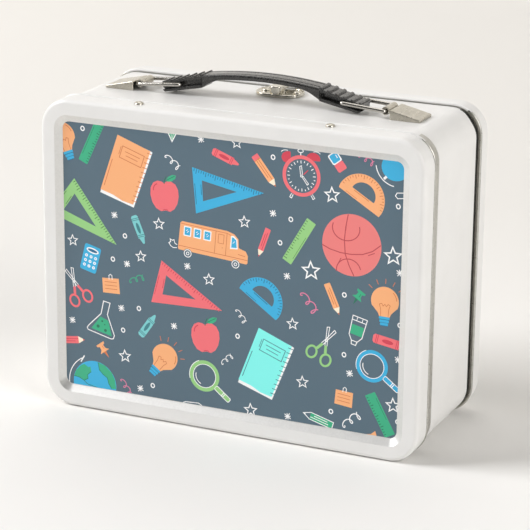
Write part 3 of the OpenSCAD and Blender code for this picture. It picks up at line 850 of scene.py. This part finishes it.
def basketball():
    fill("ball", oval(0, 0, 16.0, 16.2, count=56))
    lines("ball_line", 0.5, [(-16, -1.6), (-11.8, -3.4), (-6, -4.6), (0, -4.8), (6, -4.0),
                             (11.2, -1.8), (15.6, 1.9)],
          [(-2.2, 15.8), (-3.4, 9.0), (-4.0, 2.2), (-3.4, -5.0), (-1.2, -10.8), (1.6, -16.0)],
          oval(-3.2, 8.4, 7.4, 6.4, 160, 375, 18), oval(-1.4, -13.6, 6.6, 6.2, 12, 188, 16))
    lines("ball_line", 0.42, [(9.0, -4.2), (12.4, -2.6)], [(-7.4, -11.0), (-5.6, -7.4)],
          [(-3.0, 11.4), (-3.4, 7.2)])


def scissors(ink_name):
    for side in (-1, 1):
        line("chalk", [(side * 0.7, -3.4), (-side * 0.5, 0.6), (-side * 2.7, 6.8),
                       (-side * 1.5, 7.5), (side * 0.2, 1.6), (side * 1.7, -2.6)], 0.4)
        line(ink_name, [(side * 1.0, -2.6), (side * 2.6, -6.6)], 1.5)
        line(ink_name, oval(side * 4.3, -9.8, 2.7, 3.3, count=22), 1.15, closed=True)
    line("chalk", oval(0, 0, 0.6, count=10), 0.4, closed=True)


def clipped_note():
    fill("orange", [(-5.0, -4.1), (5.1, -4.3), (4.9, 4.2), (-5.0, 4.0)])
    for y in (2.0, 0.1, -1.8):
        line("rust", [(-3.7, y), (3.6, y - 0.1)], 0.36)
    line("chalk", [(-0.9, 3.4), (-0.9, 5.6), (0, 6.3), (0.9, 5.6), (0.9, 3.4)], 0.4)


def flask():
    fill("green", [(-5.9, -5.4), (7.0, -5.6), (3.0, 2.4), (-1.9, 3.0)])
    for x, y, r in ((-0.4, 0.8, 0.6), (-2.2, -2.9, 1.0), (2.6, -3.7, 0.9), (1.5, -0.6, 0.4)):
        fill("deep_green", oval(x, y, r, count=10))
    line("chalk", [(-2.1, 12.4), (1.9, 12.6), (1.8, 5.6), (8.4, -4.6), (8.2, -6.6), (6.9, -7.2),
                   (-7.6, -7.0), (-8.4, -6.0), (-7.8, -4.4), (-2.0, 4.8)], 0.5, closed=True)


def push_pin(ink_name, mark):
    fill(ink_name, [(-2.6, 3.6), (2.6, 3.6), (2.4, 2.5), (1.2, 2.1), (1.4, 0.2), (3.0, -1.3),
                    (-3.0, -1.3), (-1.4, 0.2), (-1.2, 2.1), (-2.4, 2.5)])
    fill(mark, [(-0.8, -1.3), (0.8, -1.3), (0.1, -5.2)])
    line(mark, [(0.4, 2.0), (0.5, 0.1)], 0.3)


def light_bulb(rays=True):
    fill("orange", [(-2.7, -8.4), (2.7, -8.4), (3.6, -6.4), (6.4, -3.4)]
         + oval(0, 0, 7.5, 7.6, -24, 204, 30) + [(-6.4, -3.4), (-3.6, -6.4)])
    for k, y in enumerate((-8.9, -10.6, -12.2)):
        half = 2.9 - 0.35 * k
        fill("sky", block(-half, y - 0.75, half, y + 0.75, 0.5))
        line("deep_blue", [(-half + 0.4, y - 0.8), (half - 0.4, y - 0.8)], 0.36)
    line("rust", [(-2.0, -8.2), (-2.2, -4.2), (-2.9, -1.8), (-1.6, -1.4), (-0.9, -2.7), (0, -1.6),
                  (0.9, -2.7), (1.8, -1.4), (2.9, -2.0), (2.2, -4.2), (2.0, -8.2)], 0.34)
    line("rust", oval(0, 0.4, 6.3, 6.2, 5, 48, 6), 0.42)
    if rays:
        for turn in (40, 65, 90, 115, 140):
            c, s = math.cos(math.radians(turn)), math.sin(math.radians(turn))
            line("rust", [(9.2 * c, 9.2 * s), (11.8 * c, 11.8 * s)], 0.36)


def globe():
    fill("sky", oval(0, 0, 13.0, 13.0, count=48))
    fill("green", [(-12.6, 2.8), (-11.4, 6.2), (-8.6, 9.2), (-6.4, 10.4), (-3.9, 9.0), (-2.6, 9.4),
                   (-2.2, 6.6), (-4.4, 4.6), (-4.2, 2.4), (-6.6, 1.0), (-9.6, 2.4)])
    fill("green", [(2.0, 12.6), (6.2, 11.4), (10.2, 8.0), (12.2, 4.0), (12.9, -1.0), (10.2, -1.2),
                   (8.4, 1.4), (7.6, 4.6), (5.0, 6.2), (2.8, 8.4)])
    lines("deep_green", 0.34, [(2.0, 12.6), (2.8, 8.4), (5.0, 6.2), (7.6, 4.6), (8.4, 1.4),
                               (10.2, -1.2)],
          [(-2.2, 6.6), (-4.4, 4.6), (-4.2, 2.4), (-6.6, 1.0), (-9.6, 2.4), (-12.6, 2.8)],
          [(-6.6, 1.0), (-4.4, -0.8), (1.0, -1.8)])
    line("chalk", oval(0, 0, 15.6, 15.6, 118, 200, 16), 0.5)
    line("chalk", [(-6.2, 15.2), (-8.4, 11.4)], 0.7)


def glue_tube():
    fill("green", block(-3.3, -2.6, 3.3, 2.6))
    line("chalk", [(-4.0, 7.2), (4.0, 7.2), (3.9, 4.6), (3.6, -3.2), (1.6, -6.0), (1.2, -8.0),
                   (-1.2, -8.0), (-1.6, -6.0), (-3.6, -3.2), (-3.9, 4.6)], 0.45, closed=True)
    lines("chalk", 0.42, [(-3.8, 5.0), (3.8, 5.0)], [(-1.6, -6.0), (1.6, -6.0)])
    lines("chalk", 0.35, [(-1.4, 6.9), (-1.4, 5.2)], [(1.6, 6.9), (1.6, 5.2)])


def magnifier(ink_name):
    line(ink_name, oval(0, 0, 7.6, 7.6, count=40), 2.1, closed=True)
    line("chalk", oval(0, 0, 6.5, 6.5, count=36), 0.36, closed=True)
    line("chalk", oval(0, 0, 8.75, 8.75, 150, 235, 12), 0.36)
    line("chalk", oval(0, 0, 5.0, 5.0, 205, 285, 8), 0.42)
    fill("chalk", block(8.2, -1.5, 18.9, 1.5, 1.0))
    fill(ink_name, block(8.4, -1.1, 18.5, 1.1, 0.8))
    lines("chalk", 0.45, [(13.6, -1.2), (13.6, 1.2)], [(14.6, -1.2), (14.6, 1.2)])


def gem():
    fill("chalk", [(-3.0, 1.6), (3.4, 1.6), (0.2, -4.4)])
    fill("green", [(-2.1, 1.2), (2.5, 1.2), (0.2, -3.3)])
    line("chalk", [(-0.6, 1.2), (0.2, -2.6), (1.2, 1.2)], 0.3)


def hat():
    fill("sky", oval(0, 0, 7.4, 7.0, count=30))
    line("chalk", oval(1.0, 1.5, 11.4, 11.4, 188, 262, 12), 0.5)
    line("chalk", [(-6.0, -6.6), (-4.6, -5.2)], 1.3)


def loop_clip():
    line("chalk", [(5, 1.4), (-1.2, 1.6), (-2.3, 0.2), (-1.2, -1.3), (5, -1.1)], 0.45)


def handbag():
    line("chalk", [(-6.2, -2.4), (-5.2, 0.4), (-3.6, 1.0), (3.8, 1.0), (5.6, 0), (6.2, -2.4)],
         0.45)


def paper_scrap():
    fill("orange", [(-6, -2.2), (-3.0, -0.6), (1.4, -0.2), (3.8, 1.6), (4.8, -2.4)])


for x, y in ((-83.7, 69.9), (-59.3, 14.7), (-66.6, 1.0), (25.1, 67.1), (93.0, 49.9), (35.3, 35.9),
             (29.5, 22.8), (-51.4, -24.2), (-60.9, -37.7), (-43.4, -66.2), (65.3, 0.1),
             (65.8, -31.8), (59.2, -63.7), (95.9, -63.3), (95.6, -11.6), (6.1, -30.9)):
    icon(ring, x, y, 15)
for x, y in ((-15.2, 71.8), (-65.4, 25.3), (25.4, 37.8), (33.6, 5.6), (94.8, 15.8), (-58.2, -0.5),
             (-22.9, 3.1), (-61.8, -25.5), (-91.5, -36.5), (-30.7, -30.9), (-50.8, -69.0),
             (69.1, -41.4), (35.0, -70.5), (95.2, -29.9)):
    icon(sparkle, x, y)
for x, y, size in ((4.9, 72.3, 3), (-39.3, 23.8, 3.1), (-90.5, 8.2, 3), (-50.0, 4.7, 3),
                   (9.5, 31.2, 3.1), (-10.4, -2.4, 3.1), (-59.9, -52.2, 3.4), (37.1, -19.6, 3.1),
                   (43.1, -50.3, 3.2), (13.9, -70.6, 3.6), (57.6, 51.4, 4), (46.8, 10.3, 4.8),
                   (91.0, 24.0, 4.6), (93.2, -54.9, 3.9)):
    icon(star, x, y, 4, size)
for ink_name, x, y, turn, size in (
        ("chalk", -31.6, 58.3, -38, 0.9), ("green", -52.8, -8.2, 22, 0.85),
        ("chalk", -0.2, -44.8, 42, 0.75), ("chalk", 7.8, -19.5, -52, 0.75),
        ("pink", 45.8, -6.5, -50, 1.15), ("pink", 75.3, 71.9, -24, 0.8),
        ("pink", -59.7, -69.2, -58, 0.85), ("chalk", 70.1, -66.8, 40, 1.1)):
    icon(curl, x, y, turn, size, ink_name=ink_name)
icon(ruler, -77.0, 66.5, 65, ink_name="green", mark="deep_green", length=32, width=5.6)
icon(ruler, 40.0, 24.9, 59.8, ink_name="leaf", mark="deep_leaf", length=26.6, width=5.6, side=-1)
icon(ruler, 86.2, -61.1, -61.3, ink_name="green", mark="deep_green", length=24, width=6)
icon(notebook, -58.5, 49.8, -18.7, cover="orange", mark="rust")
icon(notebook, 22.1, -43.7, -20.6, cover="aqua", mark="deep_teal")
icon(crayon, -1.2, 63.7, -20.5, wax="coral", mark="crimson")
icon(crayon, -51.0, 19.1, -67.2, wax="teal", mark="deep_teal")
icon(crayon, -46.1, -32.9, 55.3, wax="teal", mark="deep_teal", length=15.8)
icon(crayon, 90.2, -21.6, -9, wax="coral", mark="crimson", length=18, width=5)
icon(pencil, 20.8, 59.4, -51.2, paint="orange", mark="rust", length=19.4, width=4)
icon(pencil, 59.2, -3.1, -65.6, paint="orange", mark="rust", length=17.4, width=3.6,
     rubber=False)
icon(pencil, 20.2, 21.5, -109, paint="coral", mark="crimson", length=16.6, width=3.2,
     rubber=False)
icon(pencil, -93.4, -48.0, 8, paint="coral", mark="crimson", length=19, width=4, rubber=False)
icon(pencil, 52.1, -69.2, 164.4, paint="green", mark="chalk", length=17, width=3.9,
     rubber=False, outlined=True)
icon(apple, -36.0, 39.2, 3)
icon(apple, -12.4, -34.5, 3)
for ink_name, mark, outer, inner, count in (
        ("sky", "deep_blue", [(-20.2, 56.6), (20.3, 47.7), (-17.9, 32.2)],
         [(-14.6, 50.2), (5.1, 46.5), (-13.9, 39.2)], 30),
        ("leaf", "deep_leaf", [(-89.1, 42.4), (-64.3, 9.1), (-104.6, 22.2)],
         [(-89.0, 34.0), (-76.5, 17.5), (-95.8, 24.4)], 28),
        ("coral", "crimson", [(-37.9, 4.2), (-2.8, -18.4), (-44.0, -19.5)],
         [(-35.2, -3.6), (-18.2, -14.4), (-37.4, -14.4)], 28)):
    icon(set_square, 0, 0, ink_name=ink_name, mark=mark, outer=outer, inner=inner, count=count)
icon(protractor, 71.9, 49.6, -31, ink_name="orange", mark="rust")
icon(protractor, 17.3, -11.8, -34.9, ink_name="sky", mark="deep_blue")
icon(calculator, -80.0, -0.5, -14.4)
icon(school_bus, -28.2, 11.7, -4.5)
icon(alarm_clock, 40.8, 59.2, 3, 0.98)
icon(rubber, 60.1, 68.8, -52)
icon(hat, 91.0, 69.6)
icon(loop_clip, 93.6, 55.3, 8)
icon(basketball, 68.7, 26.7)
icon(scissors, -90.1, -14.6, 25, ink_name="coral")
icon(scissors, 55.9, -25.7, -25, ink_name="leaf")
icon(clipped_note, -67.9, -13.9, 3)
icon(clipped_note, 66.2, -55.4, -5, 0.97)
icon(flask, -73.2, -35.4, -13, 0.98)
icon(push_pin, -72.8, -50.4, 37, 1.05, ink_name="orange", mark="rust")
icon(push_pin, 72.8, 0.2, -33, ink_name="green", mark="deep_green")
icon(light_bulb, 87.3, -0.1, -1)
icon(light_bulb, -36.2, -49.2, -36.5)
icon(light_bulb, -95.8, 64.4, 22.7, rays=False)
icon(globe, -78.3, -70.9)
icon(glue_tube, 72.6, -17.8, -13.2)
icon(magnifier, -12.9, -55.9, -39, ink_name="leaf")
icon(magnifier, 81.2, -35.6, -37.3, ink_name="sky")
icon(gem, -31.8, 72.6)
icon(handbag, -20.2, -72.9, 3)
icon(paper_scrap, 80.2, -72.2, 5)

print_inset, ink_thickness = 0.0123, 0.00002
print_half_w, print_half_h = (half_w - print_inset) / MM, (half_h - print_inset) / MM
here.update(x=0, y=0, turn=0, size=1)
ground = block(-print_half_w, -print_half_h, print_half_w, print_half_h,
               (corner_r - print_inset) / MM)
areas = [("slate", ground)] + drawn
corner_points, outlines = [], []
for ink_name, outline in areas:
    outlines.append(list(range(len(corner_points), len(corner_points) + len(outline))))
    corner_points += [Vector(p) for p in outline]
cut = geometry.delaunay_2d_cdt(corner_points, [], outlines, 1, 1e-4, True)
cut_points, cut_faces, from_areas = cut[0], cut[2], cut[5]
kept = [(face, max(origin)) for face, origin in zip(cut_faces, from_areas) if 0 in origin]
used = sorted({i for face, top in kept for i in face})
renumber = {old: new for new, old in enumerate(used)}
ink_slots = list(inks)

for label, y_land, sign, body_name in (("front", front_y, 1, "root"),
                                       ("back", back_y, -1, "door")):
    y = y_land + sign * (tray_depth - ink_thickness)
    picture = add_mesh(label + "_print",
                       [(sign * cut_points[i].x * MM, y, mid_z + cut_points[i].y * MM)
                        for i in used],
                       [[renumber[i] for i in face] for face, top in kept],
                       [inks[n] for n in ink_slots], smooth=False)
    for polygon, (face, top) in zip(picture.data.polygons, kept):
        polygon.material_index = ink_slots.index(areas[top][0])
    same_way(picture, lambda centre: Vector((0, -sign, 0)))
    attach(picture, body_name)


# ---- Handle --------------------------------------------------------------------------
# A moulded handle of black plastic: a thin arched grip with long grooves, and two ribbed
# ends, each with a channel along both sides in which the wire's hooks slide.
top_z = 0.16875
grip_top_z = 0.18315
arch_rise, grip_half_l = 0.0023, 0.032
thin_half_l, grip_end_x = 0.0215, 0.0339
handle_half_w, web_half_w = 0.0063, 0.0035
end_drop, low_drop, rib_pitch = 0.262, 0.2, 4.4

plastic = make_finish("black_plastic", ((0.012, 0.012, 0.0115), (0.024, 0.0235, 0.022)),
                      (0.20, 0.34), (450,), (1100, 3), (2600, 0.00002, 0.3), IOR=1.5,
                      Specular_IOR_Level=0.7, Coat_Weight=0.3, Coat_Roughness=0.18)


def prism(name, outline, y0, y1, materials):
    """A straight block with this outline in x and z, from y0 to y1."""
    count = len(outline)
    points = [(x, y, z) for y in (y0, y1) for x, z in outline]
    faces = [tuple(range(count)), tuple(range(2 * count - 1, count - 1, -1))]
    faces += [(i, i + count, (i + 1) % count + count, (i + 1) % count) for i in range(count)]
    return face_out(add_mesh(name, points, faces, materials))


def carve(piece, cutter):
    """Takes the cutter's shape out of the piece, and the cutter away."""
    cut_out = piece.modifiers.new("carve", "BOOLEAN")
    cut_out.operation = "DIFFERENCE"
    cut_out.solver = "EXACT"
    cut_out.object = cutter
    bpy.context.view_layer.update()
    fix(piece)
    bpy.data.objects.remove(cutter)
    return piece


def gather(name, parts):
    """Makes one piece of several that are moulded or fixed together."""
    graph = bpy.context.evaluated_depsgraph_get()
    shape = bmesh.new()
    for part in parts:
        finished = bpy.data.meshes.new_from_object(part.evaluated_get(graph))
        shape.from_mesh(finished)
    whole = bpy.data.meshes.new(name)
    shape.to_mesh(whole)
    shape.free()
    for material in parts[0].data.materials:
        whole.materials.append(material)
    for part in parts:
        bpy.data.objects.remove(part)
    for polygon in whole.polygons:
        polygon.use_smooth = True
    piece = bpy.data.objects.new(name, whole)
    bpy.context.scene.collection.objects.link(piece)
    return piece


def smooth_by_angle(piece, degrees):
    """Keeps edges sharper than this angle crisp."""
    def mark_edges(shape):
        for edge in shape.edges:
            if len(edge.link_faces) == 2:
                edge.smooth = edge.calc_face_angle(0) < math.radians(degrees)
    return reshape(piece, mark_edges)


def grip_top_at(x):
    return grip_top_z - arch_rise * (x / grip_half_l) ** 2


def grip_underside_at(x):
    """Thin over the middle, and curving down to the lower plate at each end."""
    x = abs(x)
    thin = grip_top_at(x) - 0.0029
    if x < thin_half_l:
        return thin
    share = (x - thin_half_l) / (grip_end_x - thin_half_l)
    low_edge = top_z + 0.0055 - low_drop * (grip_end_x - grip_half_l)
    return thin + (low_edge - thin) * share ** 2.1


GRIP_TOP = [(-6.3, -1.15), (-6.2, -0.62), (-5.85, -0.22), (-5.2, -0.04), (-4.3, -0.02),
            (-3.75, -0.12), (-3.45, -0.5), (-3.0, -0.5), (-2.7, -0.12), (-2.1, -0.01), (-0.9, 0)]
GRIP_TOP += [(-y, h) for y, h in reversed(GRIP_TOP)]
GRIP_UNDER = [(6.3, 0.55), (6.1, 0.15), (5.6, 0), (-5.6, 0), (-6.1, 0.15), (-6.3, 0.55)]
grip_points = []
around = len(GRIP_TOP) + len(GRIP_UNDER)
grip_steps = 56
for i in range(grip_steps + 1):
    x = grip_end_x * (2 * i / grip_steps - 1)
    grip_points += [(x, y * MM, grip_top_at(x) + h * MM) for y, h in GRIP_TOP]
    grip_points += [(x, y * MM, grip_underside_at(x) + h * MM) for y, h in GRIP_UNDER]
grip_faces = skin(grip_steps + 1, around, ring=True)
grip_faces += [tuple(range(around)),
               tuple(grip_steps * around + j for j in reversed(range(around)))]
handle_parts = [face_out(add_mesh("grip", grip_points, grip_faces, [plastic]))]
for side in (-1, 1):
    def at_side(outline):
        return [(side * x * MM, z * MM) for x, z in outline]

    block_end = prism("end", at_side([
        (33.5, 173.9), (33.5, 180.46), (57.5, 174.17), (57.5, 171.3), (57.2, 171.1),
        (56.4, 170.6), (55, 169.65)]), -handle_half_w, handle_half_w, [plastic])
    for y0, y1 in ((-0.0075, -web_half_w), (web_half_w, 0.0075)):
        carve(block_end, prism("channel", at_side([
            (34.1, 175.4), (34.1, 178.6), (39.0, 177.8), (44.8, 176.45), (60, 172.93),
            (60, 169.82), (44.8, 173.22), (39.0, 174.5)]), y0, y1, [plastic]))
    for i in range(5):
        x0 = 35.15 + rib_pitch * i
        top = 180.9 - end_drop * (x0 - 32)
        carve(block_end, prism("groove", at_side([
            (x0, top - 0.55), (x0 - 0.1, top + 1), (x0 + 0.5, top + 1), (x0 + 0.4, top - 0.65)]),
            -0.0075, 0.0075, [plastic]))
    soften(block_end, 0.00022, 3, 25)
    handle_parts.append(block_end)
    for i in range(6):
        x0 = 33.2 + rib_pitch * i
        base0 = 180.85 - end_drop * (x0 - 32)
        rib = prism("rib", at_side([
            (x0 - 0.15, base0 - 0.5), (x0, base0 + 0.55), (x0 + 0.25, base0 + 0.7),
            (x0 + 1.25, base0 + 0.7 - end_drop * 1.5), (x0 + 1.5, base0 + 0.5 - end_drop * 1.5),
            (x0 + 1.65, base0 - 0.5 - end_drop * 1.5)]),
            -handle_half_w + 0.0001, handle_half_w - 0.0001, [plastic])
        soften(rib, 0.00015, 2, 25)
        handle_parts.append(rib)
bpy.context.view_layer.update()
handle = smooth_by_angle(gather("handle_moulding", handle_parts), 40)
true_flats(handle)
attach(handle, "handle")
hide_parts("handle")


# ---- Handle wires --------------------------------------------------------------------
# Two loops of 2 mm bright steel wire, each bent square round its bracket's curl, with
# hooks turned inwards that sit in the handle's side channels.
pivot_x, pivot_z = 0.070, 0.17265
wire_r, wire_l, leg_y = 0.001, 0.024, 0.0076
rest_angle = math.radians(4.5)

bright = make_finish("bright_steel_wire", ((0.46, 0.44, 0.40), (0.56, 0.54, 0.50)),
                     (0.18, 0.28), (1500, 3), Metallic=1.0)


def bend(corners, radius, steps=6):
    """A path through corners, each rounded to a bend."""
    path = [corners[0]]
    for before, here_now, after in zip(corners, corners[1:], corners[2:]):
        a = here_now + (before - here_now).normalized() * radius
        b = here_now + (after - here_now).normalized() * radius
        for i in range(steps + 1):
            t = i / steps
            path.append(a * (1 - t) ** 2 + here_now * 2 * t * (1 - t) + b * t ** 2)
    path.append(corners[-1])
    return path


for label, side in (("left", -1), ("right", 1)):
    def on_loop(along, y):
        return Vector((side * (pivot_x - along * math.cos(rest_angle)), y,
                       pivot_z + along * math.sin(rest_angle)))

    corners = [on_loop(wire_l, 0.0049), on_loop(wire_l, leg_y), on_loop(0, leg_y),
               on_loop(0, -leg_y), on_loop(wire_l, -leg_y), on_loop(wire_l, -0.0049)]
    wire = tube(label + "_wire_loop", bend(corners, 0.0013), wire_r, [bright], sides=16,
                round_ends=True)
    smooth_by_angle(wire, 60)
    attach(wire, label + "_wire")
    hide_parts(label + "_wire")


# ---- Handle brackets -----------------------------------------------------------------
# Each is one stamping of nickelled steel, folded to a wedge that is low at the outside.
# Its inside is coloured black, a painted shade. A tongue of it is curled round the wire,
# and its tabs go through slots in the body and are bent over.
plate_base = top_z + 0.00005
nickel = make_finish("satin_nickel", ((0.52, 0.49, 0.42), (0.585, 0.555, 0.485)),
                     (0.24, 0.38), (380, 5), (900, 4, (1, 0.15, 1)), Metallic=1.0)


def strip(name, middle_line, y0, y1, thickness, materials, steps=4):
    """A bent sheet: its middle line in x and z, from y0 to y1."""
    points = [(x, y0 + (y1 - y0) * k / steps, z)
              for k in range(steps + 1) for x, z in middle_line]
    piece = add_mesh(name, points, skin(steps + 1, len(middle_line)), materials)
    thicken(piece, thickness).offset = 0
    return piece


for label, side in (("left", -1), ("right", 1)):
    def at_side(outline):
        return [(side * x * MM, plate_base + z * MM) for x, z in outline]

    wedge = prism("wedge", at_side([(73, 0), (73, 5.1), (89.5, 1.4), (89.5, 0)]),
                  -0.0085, 0.0085, [nickel, shade_black])
    soften(wedge, 0.0005, 3)
    bpy.context.view_layer.update()
    fix(wedge)
    hollow = prism("hollow", at_side([(72, -1), (72, 4.62), (88.85, 0.84), (88.85, -1)]),
                   -0.0079, 0.0079, [nickel, shade_black])
    # The cutter's faces become the hollow's inside, coloured black as painted shade.
    for polygon in hollow.data.polygons:
        polygon.material_index = 1
    carve(wedge, hollow)
    curl_line = [(76, 3.0), (74.2, 3.0), (73, 3.0), (72.3, 3.05)]
    for step in range(25):
        turn = math.radians(-22 + 336 * step / 24)
        curl_line.append((70 + 1.82 * math.cos(turn), 3.85 + 1.82 * math.sin(turn)))
    curl = strip("curl", at_side(curl_line), -0.0063, 0.0063, 0.0007, [nickel])
    soften(curl, 0.00012, 2, 50)
    foot_tabs = []
    for y in (-1, 1):
        foot_tabs.append(strip("tab", at_side([(78.2, 0.3), (81, 0.3), (83.8, 0.3)]),
                               y * 0.0078, y * 0.0085, 0.0006, [nickel], 1))
        foot_tabs.append(strip("low_tab", at_side([(78, -1.03), (84, -1.03)]),
                               y * 0.0052, y * 0.0084, 0.0006, [nickel], 1))
    bpy.context.view_layer.update()
    bracket = gather(label + "_bracket_stamping", [wedge, curl, *foot_tabs])
    smooth_by_angle(face_out(bracket), 40)
    true_flats(bracket)
    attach(bracket, "root")
    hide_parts(label + "_bracket")


# ---- Rivets --------------------------------------------------------------------------
# Nickelled tinman's rivets with low domes hold the front cover to the body band. The
# latch plate has tubular rivets, with a dimple where the tube was spread.
def turned(name, centre, profile, materials, up=1, sides=28):
    """A round piece from its profile of (radius, height), standing on its centre."""
    points = [(centre[0] + r * math.cos(2 * math.pi * k / sides),
               centre[1] + r * math.sin(2 * math.pi * k / sides), centre[2] + up * h)
              for r, h in profile for k in range(sides)]
    faces = skin(len(profile), sides, ring=True)
    faces += [tuple(range(sides)),
              tuple((len(profile) - 1) * sides + k for k in reversed(range(sides)))]
    return face_out(add_mesh(name, points, faces, materials))


def dome(r, h, foot=0.00012):
    """A low dome with a small upright foot, as (radius, height)."""
    line_out = [(r, -0.0001), (r, foot)]
    for step in range(1, 9):
        turn = math.radians(90 * step / 8)
        line_out.append((max(0.00002, r * math.cos(turn)), foot + (h - foot) * math.sin(turn)))
    return line_out


cover_rivet_x, cover_rivet_y = 0.0535, -0.0389
outer_top, outer_low = 0.17000, 0.0003
inner_top, inner_low = 0.16815, 0.00215
heads = []
for side in (-1, 1):
    for z, profile, up in ((outer_top, dome(0.0024, 0.0015, 0.0003), 1),
                           (inner_top, dome(0.0019, 0.0008), -1),
                           (outer_low, dome(0.0023, 0.00028, 0.0001), -1),
                           (inner_low, dome(0.0019, 0.0008), 1)):
        heads.append(turned("head", (side * cover_rivet_x, cover_rivet_y, z), profile,
                            [nickel], up))
cover_rivets = smooth_by_angle(gather("front_cover_rivet_heads", heads), 50)
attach(cover_rivets, "root")
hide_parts("front_cover_rivets")

latch_rivet_x, latch_rivet_y = 0.009, 0.0225
plate_t = 0.0006
EYELET = [(0.0025, -0.0001), (0.0025, 0.0002), (0.0024, 0.0006), (0.0021, 0.00095),
          (0.0017, 0.0011), (0.0013, 0.00105), (0.0010, 0.0008), (0.0008, 0.0005),
          (0.0004, 0.00045), (0.00002, 0.00045)]
heads = []
for side in (-1, 1):
    for z, profile, up in ((plate_base + plate_t, EYELET, 1),
                           (inner_top, dome(0.0022, 0.0009), -1)):
        heads.append(turned("eyelet", (side * latch_rivet_x, latch_rivet_y, z), profile,
                            [nickel], up))
latch_rivets = smooth_by_angle(gather("latch_eyelets", heads), 60)
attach(latch_rivets, "root")
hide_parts("latch_base_rivets")


# ---- Latch plate and hasp ------------------------------------------------------------
# The plate is an oval dish of nickelled steel with a rolled rim, open at the back. The
# hasp hinges on the door, and its rounded nose comes down inside the dish.
latch_y, latch_half_w, latch_half_d, latch_r = 0.020, 0.013, 0.0095, 0.0085
open_half_w = 0.0050
mirror_nickel = make_finish("bright_nickel", ((0.60, 0.575, 0.50), (0.72, 0.69, 0.62)),
                            (0.14, 0.26), (500, 5), (1100, 4), Metallic=1.0)

plate_places = []
for cx, cy, start in ((1, 1, 0), (-1, 1, 90), (-1, -1, 180), (1, -1, 270)):
    for i in range(13):
        turn = math.radians(start + 90 * i / 12)
        plate_places.append((cx * (latch_half_w - latch_r),
                             latch_y + cy * (latch_half_d - latch_r),
                             math.cos(turn), math.sin(turn)))
    if start == 0:
        for x in (4.4, 3.0, 1.5, 0, -1.5, -3.0, -4.4):
            plate_places.append((x * MM, latch_y + latch_half_d - latch_r, 0, 1))
DISH = [(0.0052, 0.0006), (0.0020, 0.0006), (0.0015, 0.00068), (0.00118, 0.00095),
        (0.00100, 0.00128), (0.00082, 0.00156), (0.00050, 0.0017), (0.00018, 0.00156),
        (0.00003, 0.00122), (0, 0.0008), (0, 0.0002), (0.0001, 0.0)]
dish_points = []
for cx, cy, dx, dy in plate_places:
    for inset, height in DISH:
        x, y = cx + dx * (latch_r - inset), cy + dy * (latch_r - inset)
        if y > latch_y and abs(x) < open_half_w:
            height = min(height, plate_t)
        dish_points.append((x, y, plate_base + height))
turns, width = len(plate_places), len(DISH)
dish_faces = skin(turns, width, loop=True)
dish_faces += [tuple(i * width for i in range(turns)),
               tuple(i * width + width - 1 for i in reversed(range(turns)))]
dish = face_out(add_mesh("latch_dish", dish_points, dish_faces, [mirror_nickel]))
smooth_by_angle(dish, 60)
true_flats(dish)
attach(dish, "root")
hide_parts("latch_base")

nose_y, nose_r, strap_half_w = 0.015, 0.0036, 0.0036
strap_top, skirt_low = top_z + 0.0045, top_z + 0.0010
hasp_pin_y, hasp_pin_z, strap_end_y = 0.0386, 0.1723, 0.0352
hasp_t = 0.0007
edge_places = [(-strap_half_w, y, -1, 0) for y in (strap_end_y, 0.030, 0.024, 0.0185)]
edge_places += [(nose_r * math.cos(math.radians(t)), nose_y + nose_r * math.sin(math.radians(t)),
                 math.cos(math.radians(t)), math.sin(math.radians(t)))
                for t in range(180, 361, 10)]
edge_places += [(strap_half_w, y, 1, 0) for y in (0.0185, 0.024, 0.030, strap_end_y)]
strap_points = []
for x, y, dx, dy in edge_places:
    low = skirt_low if y < 0.0152 else strap_top - 0.0010
    top = strap_top + 0.0012 * min(1, max(0, (0.0245 - y) / 0.006))
    for inset, z in ((0.0016, top), (0.0006, top), (0.00032, top - 0.0001),
                     (0.0001, top - 0.00032), (0, top - 0.0006), (0, low)):
        strap_points.append((x - dx * inset, y - dy * inset, z))
count, last = 6, len(edge_places) - 1
strap_faces = skin(last + 1, count)
for i in range((last + 1) // 2):
    a, b = i, last - i
    if b - 1 > a + 1:
        strap_faces.append((a * count, (a + 1) * count, (b - 1) * count, b * count))
    elif b - 1 >= a + 1:
        strap_faces.append((a * count, (a + 1) * count, b * count))
strap = add_mesh("strap", strap_points, strap_faces, [mirror_nickel])
same_way(strap, lambda centre: Vector((centre.x, min(0, centre.y - nose_y), 0)) * 40
         + Vector((0, 0, 1 if centre.z > strap_top - 0.0004 else 0)))
thicken(strap, hasp_t)
roll_r, roll_z, steps = 0.00122, strap_top - 0.00035, 24
roll_line = [(strap_end_y - 0.0008, roll_z), (0.0366, roll_z)]
for step in range(steps + 1):
    turn = math.radians(112 - 300 * step / steps)
    roll_line.append((hasp_pin_y + roll_r * math.cos(turn),
                      hasp_pin_z + roll_r * math.sin(turn)))
roll_points = [(x, y, z) for x in (-strap_half_w, 0, strap_half_w) for y, z in roll_line]
roll = add_mesh("roll", roll_points, skin(3, len(roll_line)), [mirror_nickel])
thicken(roll, hasp_t).offset = 0
bpy.context.view_layer.update()
hasp = smooth_by_angle(face_out(gather("hasp_strap", [strap, roll])), 45)
true_flats(hasp)
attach(hasp, "hasp")
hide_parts("latch_hasp")


# ---- Hinges and hasp bracket ---------------------------------------------------------
# Two butt hinges of nickelled steel with steel pins are riveted underneath, and a small
# folded bracket on the door's top holds the hasp's pin.
steel = make_finish("steel_pin", ((0.36, 0.355, 0.34), (0.46, 0.45, 0.43)), (0.28, 0.42),
                    (1300, 3, (4, 1, 1)), Metallic=1.0)
for metal, node_names in (
        (nickel, ("left_hinge_body_leaf", "right_hinge_body_leaf", "left_hinge_door_leaf",
                  "right_hinge_door_leaf", "body_leaf_rivets", "door_leaf_rivets",
                  "hasp_bracket_rivets")),
        (steel, ("left_hinge_pin", "right_hinge_pin", "hasp_pin")),
        (mirror_nickel, ("hasp_bracket",))):
    for node_name in node_names:
        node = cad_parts[node_name]
        node.data.materials.clear()
        node.data.materials.append(metal)
